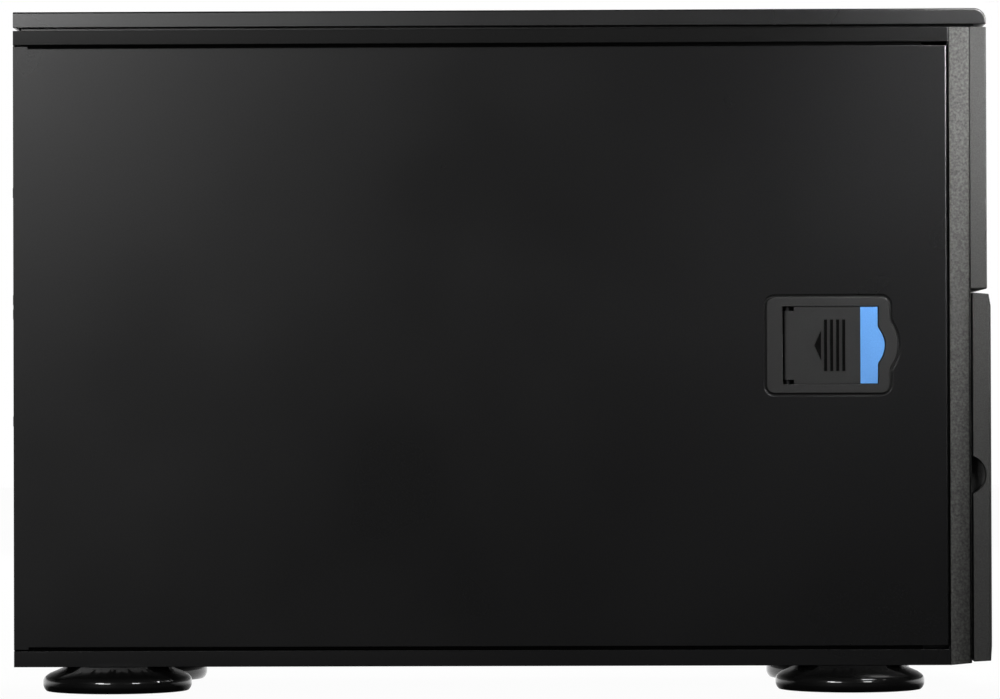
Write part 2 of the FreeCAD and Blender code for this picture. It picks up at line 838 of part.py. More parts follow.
def make_bezel_frame():
    """The moulded frame on the front wall, open for trays and bays, with the door's lower lug."""
    body = new_body("bezel_frame")
    pad(body, "XZ", [rectangle((LEFT, RIGHT), (BOTTOM, TOP))], BEZEL_FRONT, FRONT)
    pocket(body, "XZ", [rectangle(
        (-CAGE_INSIDE - D.tray_side_gap, CAGE_INSIDE + D.tray_side_gap),
        (TRAY_LOWEST - D.tray_side_gap, TRAYS_TOP + D.tray_side_gap))], BEZEL_FRONT, FRONT)
    opening = D.bay_width / 2 + D.bezel_skin
    pocket(body, "XZ", [rectangle((-opening, opening), (BAY_LOWEST, TOP - D.bezel_skin))], BEZEL_FRONT, FRONT)
    pocket(body, "YZ", [outline([
        (FRONT, BOTTOM), (BEZEL_FRONT, BOTTOM + D.bezel_foot_rise), (BEZEL_FRONT, BOTTOM)])], LEFT, RIGHT)
    pad(body, "XY", [rectangle(
        (HINGE_X - D.door_depth / 2, RIGHT), (HINGE_Y - D.door_depth / 2, FRONT))],
        BOTTOM, BOTTOM + D.lug_height)
    pocket(body, "XY", [circle(HINGE_X, HINGE_Y, D.pin_radius + D.fit_clearance)],
           BOTTOM, BOTTOM + D.lug_height)
    round_edges(body, D.bezel_skin / 2, runs_along("z", x=[LEFT, RIGHT], y=[BEZEL_FRONT]))
    return body


def control_places():
    """Where the controls stand across the band at the top of the fascia."""
    return {
        "power": RIGHT - D.power_from_right,
        "reset": RIGHT - D.reset_from_right,
        "light": ZERO - D.light_pipe_pitch,
        "usb": LEFT + D.usb_from_left,
    }


def make_upper_fascia():
    """The moulded cover over the bays: a thin skin with walls, three bay windows and the control holes."""
    body = new_body("upper_fascia")
    inner = FASCIA_FRONT + D.fascia_skin
    pad(body, "XZ", [rectangle((LEFT, RIGHT), (FASCIA_FOOT, TOP))], FASCIA_FRONT, BEZEL_FRONT)
    round_edges(body, D.fascia_edge_round, runs_along("z", x=[LEFT, RIGHT], y=[FASCIA_FRONT]))
    round_edges(body, D.fascia_foot_round, runs_along("x", y=[FASCIA_FRONT], z=[FASCIA_FOOT]))
    pocket(body, "XZ", [rectangle(
        (LEFT + D.fascia_skin, RIGHT - D.fascia_skin),
        (FASCIA_FOOT + D.fascia_skin, TOP - D.fascia_skin))], inner, BEZEL_FRONT)
    boss_high = FASCIA_FOOT + D.pin_reach
    pad(body, "XY", [circle(HINGE_X, HINGE_Y, D.pin_radius * 2)], FASCIA_FOOT, boss_high)
    pocket(body, "XY", [circle(HINGE_X, HINGE_Y, D.pin_radius + D.fit_clearance)], FASCIA_FOOT, boss_high)
    window = pocket(body, "XZ", [rectangle(
        (-D.bay_width / 2, D.bay_width / 2), (BAY_LOWEST, BAY_LOWEST + D.bay_pitch - D.sheet))],
        FASCIA_FRONT, inner)
    repeat(body, window, "Z", D.bay_count, D.bay_pitch)
    at = control_places()
    for hole, radius in (("power", D.power_button_radius), ("reset", D.reset_button_radius)):
        pocket(body, "XZ", [circle(at[hole], CONTROL_HEIGHT, radius + D.part_clearance)], FASCIA_FRONT, inner)
    reach = D.part_clearance
    wide = D.light_pipe_width / 2 + reach
    tall = D.light_pipe_height / 2 + reach
    light = pocket(body, "XZ", [rectangle(
        (at["light"] - wide, at["light"] + wide), (CONTROL_HEIGHT - tall, CONTROL_HEIGHT + tall))],
        FASCIA_FRONT, inner)
    repeat(body, light, "X", D.light_pipe_count, D.light_pipe_pitch)
    wide = D.usb_width / 2 + reach
    tall = D.usb_height / 2 + reach
    socket = pocket(body, "XZ", [rectangle(
        (at["usb"] - wide, at["usb"] + wide), (CONTROL_HEIGHT - tall, CONTROL_HEIGHT + tall))],
        FASCIA_FRONT, inner)
    repeat(body, socket, "X", USB_COUNT, D.usb_pitch)
    return body


# Front door

DOOR_HOLLOW_X = (LEFT + D.door_band, HINGE_X - D.door_rail / 2)
DOOR_HOLLOW_Z = (DOOR_LOW + D.door_rail, DOOR_HIGH - D.door_rail)
GRILLE_FRONT = DOOR_FACE + D.door_skin
NOTCH_HEIGHT = (DOOR_LOW + DOOR_HIGH) / 2 + D.notch_lift
LOCK_X = LEFT + D.lock_from_edge
LOCK_HEIGHT = NOTCH_HEIGHT + D.lock_height
CAM_SPACE = D.lock_cam_thickness + 2 * D.lock_cam_room
DOOR_HALF = (HINGE_X - LEFT) / 2
DOOR_BOW_RADIUS = arc_radius(DOOR_HALF, D.door_bow)
DOOR_CREST = DOOR_FACE - D.door_bow
LOCK_OFF_MIDDLE = DOOR_HALF - D.lock_from_edge
LOCK_BOW_DROP = DOOR_BOW_RADIUS - square_root(
    DOOR_BOW_RADIUS * DOOR_BOW_RADIUS - LOCK_OFF_MIDDLE * LOCK_OFF_MIDDLE)
LOCK_FACE = DOOR_CREST + LOCK_BOW_DROP + D.lock_inset


def eased_end(edge, fall, ease, height):
    """What comes off an end of the door: its edge falls towards the front, and the front leans back there."""
    outside = DOOR_CREST - D.door_bow
    return outline([
        (DOOR_BACK, edge), (DOOR_FACE + ease, edge + fall),
        (outside, edge + fall + height * (DOOR_FACE + ease - outside) / ease), (outside, edge)])


def make_front_door():
    """A bowed door, round about its hinge pins and hollow behind, with a half-moon finger notch."""
    body = new_body("front_door")
    pad(body, "XY", [outline([
        (LEFT, DOOR_BACK), (LEFT, DOOR_FACE), (HINGE_X, DOOR_FACE), (HINGE_X, DOOR_BACK)],
        {1: DOOR_BOW_RADIUS})], DOOR_LOW, DOOR_HIGH)
    pad(body, "XY", [circle(HINGE_X, HINGE_Y, D.door_depth / 2)], DOOR_LOW, DOOR_HIGH)
    round_edges(body, D.door_edge_round, runs_along("z", x=[LEFT], y=[DOOR_FACE]))
    round_x = (LEFT, HINGE_X + D.door_depth / 2)
    pocket(body, "YZ", [eased_end(
        DOOR_HIGH, -D.door_top_fall, D.door_top_ease, -D.door_top_ease_height)], *round_x)
    pocket(body, "YZ", [eased_end(
        DOOR_LOW, D.door_foot_rise, D.door_foot_ease, D.door_foot_ease_height)], *round_x)
    pocket(body, "XZ", [rectangle(DOOR_HOLLOW_X, DOOR_HOLLOW_Z)], GRILLE_FRONT, DOOR_BACK)
    pocket(body, "XZ", [rectangle(
        (DOOR_HOLLOW_X[0] + D.door_lip, DOOR_HOLLOW_X[1] - D.door_lip),
        (DOOR_HOLLOW_Z[0] + D.door_lip, DOOR_HOLLOW_Z[1] - D.door_lip))],
        DOOR_CREST - D.door_bow, GRILLE_FRONT)
    notch = arc_radius(D.notch_radius, D.notch_depth)
    pocket(body, "YZ", [circle(DOOR_BACK + notch - D.notch_depth, NOTCH_HEIGHT, notch)],
           LEFT, LEFT + D.notch_width)
    bore = D.pin_radius + D.fit_clearance
    pocket(body, "XY", [circle(HINGE_X, HINGE_Y, bore)], DOOR_LOW, DOOR_LOW + D.pin_reach)
    pocket(body, "XY", [circle(HINGE_X, HINGE_Y, bore)], DOOR_HIGH - D.pin_reach, DOOR_HIGH)
    pocket(body, "XZ", [circle(LOCK_X, LOCK_HEIGHT, D.lock_radius + D.fit_clearance)],
           DOOR_CREST - D.door_bow, DOOR_BACK)
    pocket(body, "XZ", [circle(LOCK_X, LOCK_HEIGHT, D.lock_cam_reach + D.lock_cam_room)],
           DOOR_BACK - CAM_SPACE, DOOR_BACK)
    return body


def make_door_grille():
    """The slotted panel behind the door's window."""
    body = new_body("door_grille")
    reach = D.part_clearance
    back = GRILLE_FRONT + D.grille_thickness
    pad(body, "XZ", [rectangle(
        (DOOR_HOLLOW_X[0] + reach, DOOR_HOLLOW_X[1] - reach),
        (DOOR_HOLLOW_Z[0] + reach, DOOR_HOLLOW_Z[1] - reach))], GRILLE_FRONT, back)
    middle = (DOOR_HOLLOW_X[0] + DOOR_HOLLOW_X[1]) / 2
    margin = 2 * D.door_lip
    first = (DOOR_HOLLOW_Z[0] + DOOR_HOLLOW_Z[1] - (D.grille_count - 1) * D.grille_pitch) / 2
    heights = (first - D.grille_slot / 2, first + D.grille_slot / 2)
    slot = pocket(body, "XZ", [
        rectangle((DOOR_HOLLOW_X[0] + margin, middle - D.grille_mullion / 2), heights),
        rectangle((middle + D.grille_mullion / 2, DOOR_HOLLOW_X[1] - margin), heights)], GRILLE_FRONT, back)
    repeat(body, slot, "Z", D.grille_count, D.grille_pitch)
    return body


def make_door_hinge_pins():
    """The lower pin stands in the bezel's lug, and the upper one hangs from the fascia."""
    lower = rod("door_pin_lower", D.pin_radius, D.door_clearance + D.pin_reach - D.slide_clearance,
                HINGE_X, HINGE_Y, BOTTOM)
    upper = rod("door_pin_upper", D.pin_radius, D.door_clearance + 2 * D.pin_reach - D.slide_clearance,
                HINGE_X, HINGE_Y, DOOR_HIGH - D.pin_reach + D.slide_clearance)
    return group("door_hinge_pins", [lower, upper])


def make_lock_barrel():
    """A key barrel through the door, with its cam behind. Its own Z axis runs back through the door."""
    body = new_body("lock_barrel")
    length = DOOR_BACK - CAM_SPACE / 2 - LOCK_FACE
    pad(body, "XY", [circle(ZERO, ZERO, D.lock_radius)], ZERO, length)
    half = D.lock_radius / 2
    pad(body, "XY", [rectangle((-half, half), (ZERO, D.lock_cam_reach))],
        length - D.lock_cam_thickness / 2, length + D.lock_cam_thickness / 2)
    pocket(body, "XY", [rectangle(
        (-D.key_width / 2, D.key_width / 2), (-D.key_length / 2, D.key_length / 2))], ZERO, D.key_depth)
    return put(body, LOCK_X, LOCK_FACE, LOCK_HEIGHT, "y")


# Side cover and its latch

PANEL_FRONT = FRONT + D.panel_front_gap
LATCH_FRONT = PANEL_FRONT + D.latch_from_front
LATCH_REAR = LATCH_FRONT + D.latch_length
LATCH_MIDDLE = BOTTOM + D.latch_rise
WINDOW_REAR = LATCH_REAR - D.window_rear_margin
WINDOW_FRONT = WINDOW_REAR - D.window_length
RIM_FACE = LEFT - D.latch_proud
PADDLE_FACE = RIM_FACE + D.paddle_inset
PADDLE_BACK = PADDLE_FACE + D.paddle_thickness
LATCH_AXIS_X = PADDLE_FACE + D.paddle_nose
LATCH_AXIS_Y = WINDOW_REAR - D.paddle_nose - D.slide_clearance
TUB_BACK = RIM_FACE + D.tub_depth
TUB_INSIDE = TUB_BACK - D.tub_wall
TUB_Y = (WINDOW_FRONT - D.grip_bulge - D.tub_wall, WINDOW_REAR + D.tub_wall)
GRIP_FRONT = WINDOW_FRONT + D.slide_clearance
GRIP_REAR = GRIP_FRONT + D.grip_length


def about_latch(half):
    """Two heights the same way above and below the latch's middle."""
    return (LATCH_MIDDLE - half, LATCH_MIDDLE + half)


TUB_Z = about_latch(D.window_height / 2 + D.tub_wall)
WINDOW_Z = about_latch(D.window_height / 2)
PADDLE_Z = about_latch(D.window_height / 2 - D.slide_clearance)


def bulged(rear, front, heights, bulge, bulge_height):
    """A rectangle on the cover's plane whose front edge has a round bulge in its middle."""
    low, high = about_latch(bulge_height / 2)
    return outline([
        (rear, heights[0]), (rear, heights[1]), (front, heights[1]), (front, high), (front, low),
        (front, heights[0])], {3: arc_radius(bulge_height / 2, bulge)})


def make_side_panel():
    """The access cover: a flat sheet with a folded front edge, rear corner tabs and a latch opening."""
    body = new_body("side_panel")
    pad(body, "YZ", [rectangle((PANEL_FRONT, REAR), (PANEL_LOW, PANEL_HIGH))], LEFT, LEFT + D.sheet)
    pad(body, "YZ", [rectangle((PANEL_FRONT, PANEL_FRONT + D.sheet), (PANEL_LOW, PANEL_HIGH))],
        LEFT, LEFT + D.panel_fold)
    pad(body, "YZ", [rectangle(
        (REAR - D.panel_tab, REAR), (PANEL_LOW - D.panel_tab_rise, PANEL_HIGH + D.panel_tab_rise))],
        LEFT, LEFT + D.sheet)
    gap = D.latch_gap
    heights = about_latch(D.latch_height / 2 + gap)
    pocket(body, "YZ", [bulged(
        LATCH_REAR + gap, LATCH_FRONT - gap, heights, D.latch_bulge, D.latch_bulge_height + 2 * gap)],
        LEFT, LEFT + D.sheet)
    round_edges(body, D.latch_round + gap, runs_along(
        "x", y=[LATCH_REAR + gap, LATCH_FRONT - gap], z=heights))
    round_edges(body, D.latch_blend, runs_along(
        "x", y=[LATCH_FRONT - gap], z=about_latch(D.latch_bulge_height / 2 + gap)))
    return body


def make_latch_housing():
    """A bevelled rim in the panel's opening, a flange behind it, and a tub for the paddle and its pin."""
    body = new_body("latch_housing")
    heights = about_latch(D.latch_height / 2)
    flange_front = LEFT + D.sheet
    pad(body, "YZ", [bulged(LATCH_REAR, LATCH_FRONT, heights, D.latch_bulge, D.latch_bulge_height)],
        RIM_FACE, flange_front)
    round_edges(body, D.latch_round, runs_along("x", y=[LATCH_REAR, LATCH_FRONT], z=heights))
    round_edges(body, D.latch_blend, runs_along(
        "x", y=[LATCH_FRONT], z=about_latch(D.latch_bulge_height / 2)))
    face = RIM_FACE.number
    round_edges(body, D.latch_bevel, lambda edge: edge.BoundBox.XMax < face + 1e-3, "Chamfer")
    reach = D.latch_flange
    pad(body, "YZ", [rectangle(
        (LATCH_FRONT - D.latch_bulge - reach, LATCH_REAR + reach), (heights[0] - reach, heights[1] + reach))],
        flange_front, flange_front + D.latch_flange_thickness)
    pad(body, "YZ", [rectangle(TUB_Y, TUB_Z)], flange_front, TUB_BACK)
    pocket(body, "YZ", [bulged(WINDOW_REAR, WINDOW_FRONT, WINDOW_Z, D.grip_bulge, D.grip_bulge_height)],
           RIM_FACE, TUB_INSIDE)
    round_edges(body, D.latch_blend, runs_along(
        "x", y=[WINDOW_FRONT], z=about_latch(D.grip_bulge_height / 2)))
    slot_z = about_latch(D.cam_width / 2 + D.cam_slot_clearance)
    pocket(body, "YZ", [rectangle((LATCH_AXIS_Y - D.cam_reach, WINDOW_REAR), slot_z)], TUB_INSIDE, TUB_BACK)
    pocket(body, "XY", [circle(LATCH_AXIS_X, LATCH_AXIS_Y, D.latch_pin_radius + D.fit_clearance)], *TUB_Z)
    return body


def make_latch_paddle():
    """A lever with a round nose on its pin, a cam behind, and an arrow and grip ribs on its face."""
    body = new_body("latch_paddle")
    nose_back = LATCH_AXIS_X + D.paddle_nose
    pad(body, "XY", [outline([
        (PADDLE_FACE, LATCH_AXIS_Y), (PADDLE_FACE, GRIP_REAR), (PADDLE_BACK, GRIP_REAR),
        (PADDLE_BACK, LATCH_AXIS_Y - D.grip_length), (nose_back, LATCH_AXIS_Y)])], *PADDLE_Z)
    pad(body, "XY", [circle(LATCH_AXIS_X, LATCH_AXIS_Y, D.paddle_nose)], *PADDLE_Z)
    pad(body, "XY", [rectangle(
        (LATCH_AXIS_X, LATCH_AXIS_X + D.cam_reach),
        (LATCH_AXIS_Y - D.cam_thickness / 2, LATCH_AXIS_Y + D.cam_thickness / 2))],
        *about_latch(D.cam_width / 2))
    pocket(body, "XY", [circle(LATCH_AXIS_X, LATCH_AXIS_Y, D.latch_pin_radius + D.fit_clearance)], *PADDLE_Z)
    slot_y = (WINDOW_REAR - D.hinge_slot_length, WINDOW_REAR)
    pocket(body, "YZ", [
        rectangle(slot_y, (PADDLE_Z[0], PADDLE_Z[0] + D.hinge_slot_height)),
        rectangle(slot_y, (PADDLE_Z[1] - D.hinge_slot_height, PADDLE_Z[1]))], PADDLE_FACE, nose_back)
    first = GRIP_REAR + D.grip_length - D.mark_rib
    rib = pad(body, "YZ", [rectangle((first, first + D.mark_rib), about_latch(D.mark_length / 2))],
              PADDLE_FACE - D.mark_height, PADDLE_FACE)
    repeat(body, rib, "Y", D.mark_rib_count, 2 * D.mark_rib)
    tip = first + 2 * D.mark_rib * D.mark_rib_count
    low, high = about_latch(D.arrow_height / 2)
    pad(body, "YZ", [outline([(tip, low), (tip + D.arrow_length, LATCH_MIDDLE), (tip, high)])],
        PADDLE_FACE - D.mark_height, PADDLE_FACE)
    return body


def make_latch_grip():
    """The coloured tab at the paddle's free end, with a round bulge for the finger."""
    body = new_body("latch_grip")
    pad(body, "YZ", [bulged(
        GRIP_REAR, GRIP_FRONT, PADDLE_Z, D.grip_bulge, D.grip_bulge_height - 2 * D.slide_clearance)],
        PADDLE_FACE, PADDLE_BACK)
    round_edges(body, D.latch_blend, runs_along(
        "x", y=[GRIP_FRONT], z=about_latch(D.grip_bulge_height / 2 - D.slide_clearance)))
    return body


def make_latch_pin():
    return rod("latch_pin", D.latch_pin_radius, TUB_Z[1] - TUB_Z[0], LATCH_AXIS_X, LATCH_AXIS_Y, TUB_Z[0])


def make_latch_strike():
    """A hat bracket on the drive cage whose slot the cam pushes against."""
    body = new_body("latch_strike")
    face = LATCH_AXIS_X + D.cam_reach - D.strike_overlap - D.sheet
    low, high = LATCH_AXIS_Y - D.strike_half_length, LATCH_AXIS_Y + D.strike_half_length
    pad(body, "XY", [outline([
        (face, low), (-CAGE_OUTSIDE, low), (-CAGE_OUTSIDE, low + D.sheet), (face + D.sheet, low + D.sheet),
        (face + D.sheet, high - D.sheet), (-CAGE_OUTSIDE, high - D.sheet), (-CAGE_OUTSIDE, high),
        (face, high)])], *about_latch(D.strike_half_height))
    half = D.cam_thickness / 2 + D.cam_slot_clearance
    pocket(body, "YZ", [rectangle(
        (LATCH_AXIS_Y - half, LATCH_AXIS_Y + half), about_latch(D.cam_width / 2 + D.cam_slot_clearance))],
        face, face + D.sheet)
    return body


# Fans

def make_fan_frame(name, x, y, z):
    """A square fan frame. Its own Z axis runs with the air, and its motor mount is on the outlet side."""
    body = new_body(name)
    half = D.fan_size / 2
    mount_low = D.fan_depth - D.fan_mount_height
    pad(body, "XY", [rectangle((-half, half), (-half, half))], ZERO, D.fan_depth)
    round_edges(body, D.fan_corner_bevel, runs_along("z", x=[-half, half], y=[-half, half]), "Chamfer")
    pocket(body, "XY", [circle(ZERO, ZERO, FAN_BORE)], ZERO, D.fan_depth)
    pad(body, "XY", [circle(ZERO, ZERO, D.fan_hub_radius)], mount_low, D.fan_depth)
    strut = pad(body, "XY", [rectangle(
        (D.fan_hub_radius - D.fan_strut / 2, FAN_BORE + D.fan_tip_gap),
        (-D.fan_strut / 2, D.fan_strut / 2))], mount_low, D.fan_depth)
    around(body, strut, 4)
    pocket(body, "XY", [circle(ZERO, ZERO, D.fan_shaft_radius + D.fit_clearance)], mount_low, D.fan_depth)
    return put(body, x, y, z, "y")


def blade_section(middle):
    """Across a blade: thin at both edges, flat below and cambered above, set at its pitch from the axis."""
    half = D.fan_blade_chord / 2
    pitch = D.fan_blade_pitch
    across, along = half * sine(pitch), half * cosine(pitch)
    side, lift = D.fan_blade_thickness / 2 * cosine(pitch), D.fan_blade_thickness / 2 * sine(pitch)
    return outline([
        (across + side, middle + along - lift), (across - side, middle + along + lift),
        (-across - side, middle - along + lift), (side - across, middle - along - lift),
    ], {3: arc_radius(half, D.fan_blade_camber)})


def make_fan_rotor(name, x, y, z):
    """A hub with its shaft, and a ring of cambered blades set at a pitch."""
    body = new_body(name)
    hub_high = D.fan_depth - D.fan_mount_height - D.fan_hub_gap
    hub_low = hub_high - D.fan_hub_height
    shaft_end = D.fan_depth - D.fan_shaft_end
    revolve(body, [outline([
        (ZERO, hub_low), (D.fan_hub_radius, hub_low), (D.fan_hub_radius, hub_high),
        (D.fan_shaft_radius, hub_high), (D.fan_shaft_radius, shaft_end), (ZERO, shaft_end)])])
    sweep = FAN_BORE - D.fan_tip_gap
    half_tip = D.fan_blade_chord / 2 * sine(D.fan_blade_pitch) + D.fan_blade_thickness / 2
    blade = pad(body, "YZ", [blade_section((hub_low + hub_high) / 2)],
                D.fan_hub_radius - D.fan_blade_root, square_root(sweep * sweep - half_tip * half_tip))
    around(body, blade, D.fan_blade_count)
    return put(body, x, y, z, "y")


def make_fan_guard(name, x, y, z):
    """A stamped guard: a cap in the middle, flat rings, and four spokes out to the screw eyes."""
    body = new_body(name)
    thick = D.guard_bar
    revolve(body, [outline([
        (ZERO, ZERO), (D.guard_cap_radius, ZERO), (D.guard_cap_radius, thick),
        (D.guard_cap_top, D.guard_reach), (ZERO, D.guard_reach)])])
    step = (FAN_BORE - D.guard_ring_margin - D.guard_cap_radius) / D.guard_ring_count
    for count in range(int(D.guard_ring_count.number)):
        outside = D.guard_cap_radius + (count + 1) * step
        pad(body, "XY", [circle(ZERO, ZERO, outside), circle(ZERO, ZERO, outside - thick)], ZERO, thick)
    lean = thick * square_root(as_size(0.5)) / 2
    start = D.guard_cap_radius / 2
    spoke = pad(body, "XY", [outline([
        (start + lean, start - lean), (FAN_HOLE + lean, FAN_HOLE - lean),
        (FAN_HOLE - lean, FAN_HOLE + lean), (start - lean, start + lean)])], ZERO, thick)
    around(body, spoke, 4)
    ends = (FAN_HOLE - D.guard_eye / 2, FAN_HOLE + D.guard_eye / 2)
    eye = pad(body, "XY", [rectangle(ends, ends)], ZERO, D.guard_eye_height)
    around(body, eye, 4)
    return put(body, x, y, z, "y")


# Drives

def make_drive_cage():
    """A sheet tube open at both ends, with a pair of runners for each tray."""
    body = new_body("drive_cage")
    pad(body, "XZ", [
        rectangle((-CAGE_OUTSIDE, CAGE_OUTSIDE), (FLOOR, CAGE_TOP)),
        rectangle((-CAGE_INSIDE, CAGE_INSIDE), (FLOOR + D.sheet, CAGE_TOP - D.sheet))], FACE, CAGE_BACK)
    heights = (TRAY_LOWEST - D.cage_runner, TRAY_LOWEST)
    runner = pad(body, "XZ", [
        rectangle((-CAGE_INSIDE, D.cage_runner_width - CAGE_INSIDE), heights),
        rectangle((CAGE_INSIDE - D.cage_runner_width, CAGE_INSIDE), heights)], FACE, CAGE_BACK)
    repeat(body, runner, "Z", D.drive_count, D.tray_pitch)
    return body


def make_drive_tray(number):
    """A carrier: a vented face between the runners, and a rail along each side of its drive."""
    body = new_body("drive_tray_%d" % number)
    half = CAGE_INSIDE - D.part_clearance
    face_low = TRAY_LOWEST + D.tray_face_lift
    pad(body, "XZ", [rectangle((-half, half), (face_low, face_low + D.tray_face_height))],
        TRAY_FRONT, DRIVE_FRONT)
    inside = D.drive_width / 2
    rail = (TRAY_LOWEST, TRAY_LOWEST + D.tray_rail_height)
    pad(body, "XZ", [
        rectangle((-inside - D.tray_rail, -inside), rail),
        rectangle((inside, inside + D.tray_rail), rail)], DRIVE_FRONT, DRIVE_BACK)
    first = -((D.tray_vent_count - 1) * D.tray_vent_pitch + D.tray_vent_width) / 2
    middle = face_low + D.tray_face_height / 2
    vent = pocket(body, "XZ", [rectangle(
        (first, first + D.tray_vent_width),
        (middle - D.tray_vent_height / 2, middle + D.tray_vent_height / 2))], TRAY_FRONT, DRIVE_FRONT)
    repeat(body, vent, "X", D.tray_vent_count, D.tray_vent_pitch)
    return put(body, ZERO, ZERO, number * D.tray_pitch)


def make_hard_drive(number):
    """A drive: a cast block with a raised lid."""
    body = new_body("hard_drive_%d" % number)
    half = D.drive_width / 2
    low = TRAY_LOWEST + D.drive_lift
    step = low + D.drive_height - D.drive_lid
    pad(body, "XY", [rectangle((-half, half), (DRIVE_FRONT, DRIVE_BACK))], low, step)
    margin = D.drive_lid_margin
    pad(body, "XY", [rectangle(
        (margin - half, half - margin), (DRIVE_FRONT + margin, DRIVE_BACK - margin))],
        step, step + D.drive_lid)
    return put(body, ZERO, ZERO, number * D.tray_pitch)


def make_drive_backplane():
    """The board behind the drives: a connector for each one, and a vent beside it."""
    body = new_body("drive_backplane")
    back = CAGE_BACK + D.backplane_thickness
    pad(body, "XZ", [rectangle((-CAGE_OUTSIDE, CAGE_OUTSIDE), (FLOOR, CAGE_TOP))], CAGE_BACK, back)
    middle = TRAY_LOWEST + D.tray_pitch / 2
    right = D.drive_width / 2
    left = right - D.drive_connector_width
    plug = pad(body, "XZ", [rectangle(
        (left, right), (middle - D.drive_connector_height / 2, middle + D.drive_connector_height / 2))],
        DRIVE_BACK + D.slide_clearance, CAGE_BACK)
    repeat(body, plug, "Z", D.drive_count, D.tray_pitch)
    vent_right = left - D.drive_lid_margin
    vent = pocket(body, "XZ", [rectangle(
        (vent_right - D.backplane_vent_width, vent_right),
        (middle - D.backplane_vent_height / 2, middle + D.backplane_vent_height / 2))], CAGE_BACK, back)
    repeat(body, vent, "Z", D.drive_count, D.tray_pitch)
    return body


# Front bays

def make_bay_cage():
    """A sheet tube behind the three front bays."""
    body = new_body("bay_cage")
    half = D.bay_width / 2
    pad(body, "XZ", [
        rectangle((-half - D.sheet, half + D.sheet), (BAY_LOWEST - D.sheet, BAYS_TOP + D.sheet)),
        rectangle((-half, half), (BAY_LOWEST, BAYS_TOP))], FACE, FACE + D.bay_depth)
    return body


def make_bay_blank(number):
    """A blank for one bay: a grooved plate in the fascia's window, on two arms that reach into the cage."""
    body = new_body("bay_blank_%d" % (number + 1))
    half = D.bay_width / 2 - D.part_clearance
    low = BAY_LOWEST + D.part_clearance
    high = BAY_LOWEST + D.bay_pitch - D.sheet - D.part_clearance
    front = FASCIA_FRONT + D.blank_recess
    back = FASCIA_FRONT + D.fascia_skin
    pad(body, "XZ", [rectangle((-half, half), (low, high))], front, back)
    arm = D.blank_arm_thickness
    middle = (low + high) / 2
    arm_z = (middle - D.blank_arm / 2, middle + D.blank_arm / 2)
    pad(body, "XZ", [rectangle((-half, arm - half), arm_z), rectangle((half - arm, half), arm_z)],
        back, FACE + D.blank_arm)
    first = middle - (D.blank_groove_count - 1) * D.blank_groove_pitch / 2
    groove = pocket(body, "XZ", [rectangle(
        (2 * D.blank_groove_pitch - half, half - 2 * D.blank_groove_pitch),
        (first - D.blank_groove / 2, first + D.blank_groove / 2))], front, front + D.blank_groove)
    repeat(body, groove, "Z", D.blank_groove_count, D.blank_groove_pitch)
    return put(body, ZERO, ZERO, number * D.bay_pitch)


# Front controls

CONTROL_BOARD_FACE = FRONT - D.control_board_thickness
SWITCH_FACE = CONTROL_BOARD_FACE - D.switch_height


def make_control_board():
    """The small board on the front wall, with a switch behind each button."""
    body = new_body("control_board")
    half = D.bay_width / 2 - D.part_clearance
    pad(body, "XZ", [rectangle((-half, half), (
        CONTROL_HEIGHT - 2 * D.switch_size, CONTROL_HEIGHT + 2 * D.switch_size))], CONTROL_BOARD_FACE, FRONT)
    at = control_places()
    reach = D.switch_size / 2
    heights = (CONTROL_HEIGHT - reach, CONTROL_HEIGHT + reach)
    pad(body, "XZ", [
        rectangle((at["power"] - reach, at["power"] + reach), heights),
        rectangle((at["reset"] - reach, at["reset"] + reach), heights)], SWITCH_FACE, CONTROL_BOARD_FACE)
    return body


def make_button(name, radius):
    """A cap through the fascia, a flange that keeps it in, and a plunger in front of its switch."""
    body = new_body(name + "_button")
    bevel = D.button_proud
    cap = D.button_proud + D.fascia_skin + D.part_clearance
    flange = cap + D.button_flange
    end = SWITCH_FACE - D.button_travel - D.slide_clearance - FASCIA_FRONT + D.button_proud
    revolve(body, [outline([
        (ZERO, ZERO), (radius - bevel, ZERO), (radius, bevel), (radius, cap), (radius + D.button_flange, cap),
        (radius + D.button_flange, flange), (D.button_plunger_radius, flange), (D.button_plunger_radius, end),
        (ZERO, end)])])
    return put(body, control_places()[name], FASCIA_FRONT - D.button_proud, CONTROL_HEIGHT, "y")


def make_light_pipes():
    """Clear bars that carry the lights of the control board to the fascia."""
    pipes = []
    wide, tall = D.light_pipe_width / 2, D.light_pipe_height / 2
    for count in range(int(D.light_pipe_count.number)):
        across = control_places()["light"] + count * D.light_pipe_pitch
        pipes.append(box("light_pipe_%d" % (count + 1), (across - wide, across + wide),
                         (FASCIA_FRONT, CONTROL_BOARD_FACE), (CONTROL_HEIGHT - tall, CONTROL_HEIGHT + tall)))
    return group("light_pipes", pipes)


def make_usb_ports():
    """Two sockets: a sheet shell on a block, with a tongue inside."""
    sockets = []
    for count in range(USB_COUNT):
        body = new_body("usb_port_%d" % (count + 1))
        wide, tall, wall = D.usb_width / 2, D.usb_height / 2, D.usb_wall
        block = CONTROL_BOARD_FACE - D.usb_back
        pad(body, "XZ", [
            rectangle((-wide, wide), (-tall, tall)),
            rectangle((wall - wide, wide - wall), (wall - tall, tall - wall))], FASCIA_FRONT, block)
        pad(body, "XZ", [rectangle((-wide, wide), (-tall, tall))], block, CONTROL_BOARD_FACE)
        pad(body, "XZ", [rectangle((3 * wall - wide, wide - 3 * wall), (ZERO, D.usb_tongue))],
            FASCIA_FRONT + D.usb_back, block)
        across = control_places()["usb"] + count * D.usb_pitch
        sockets.append(put(body, across, ZERO, CONTROL_HEIGHT))
    return group("usb_ports", sockets)


# Board and what stands on it

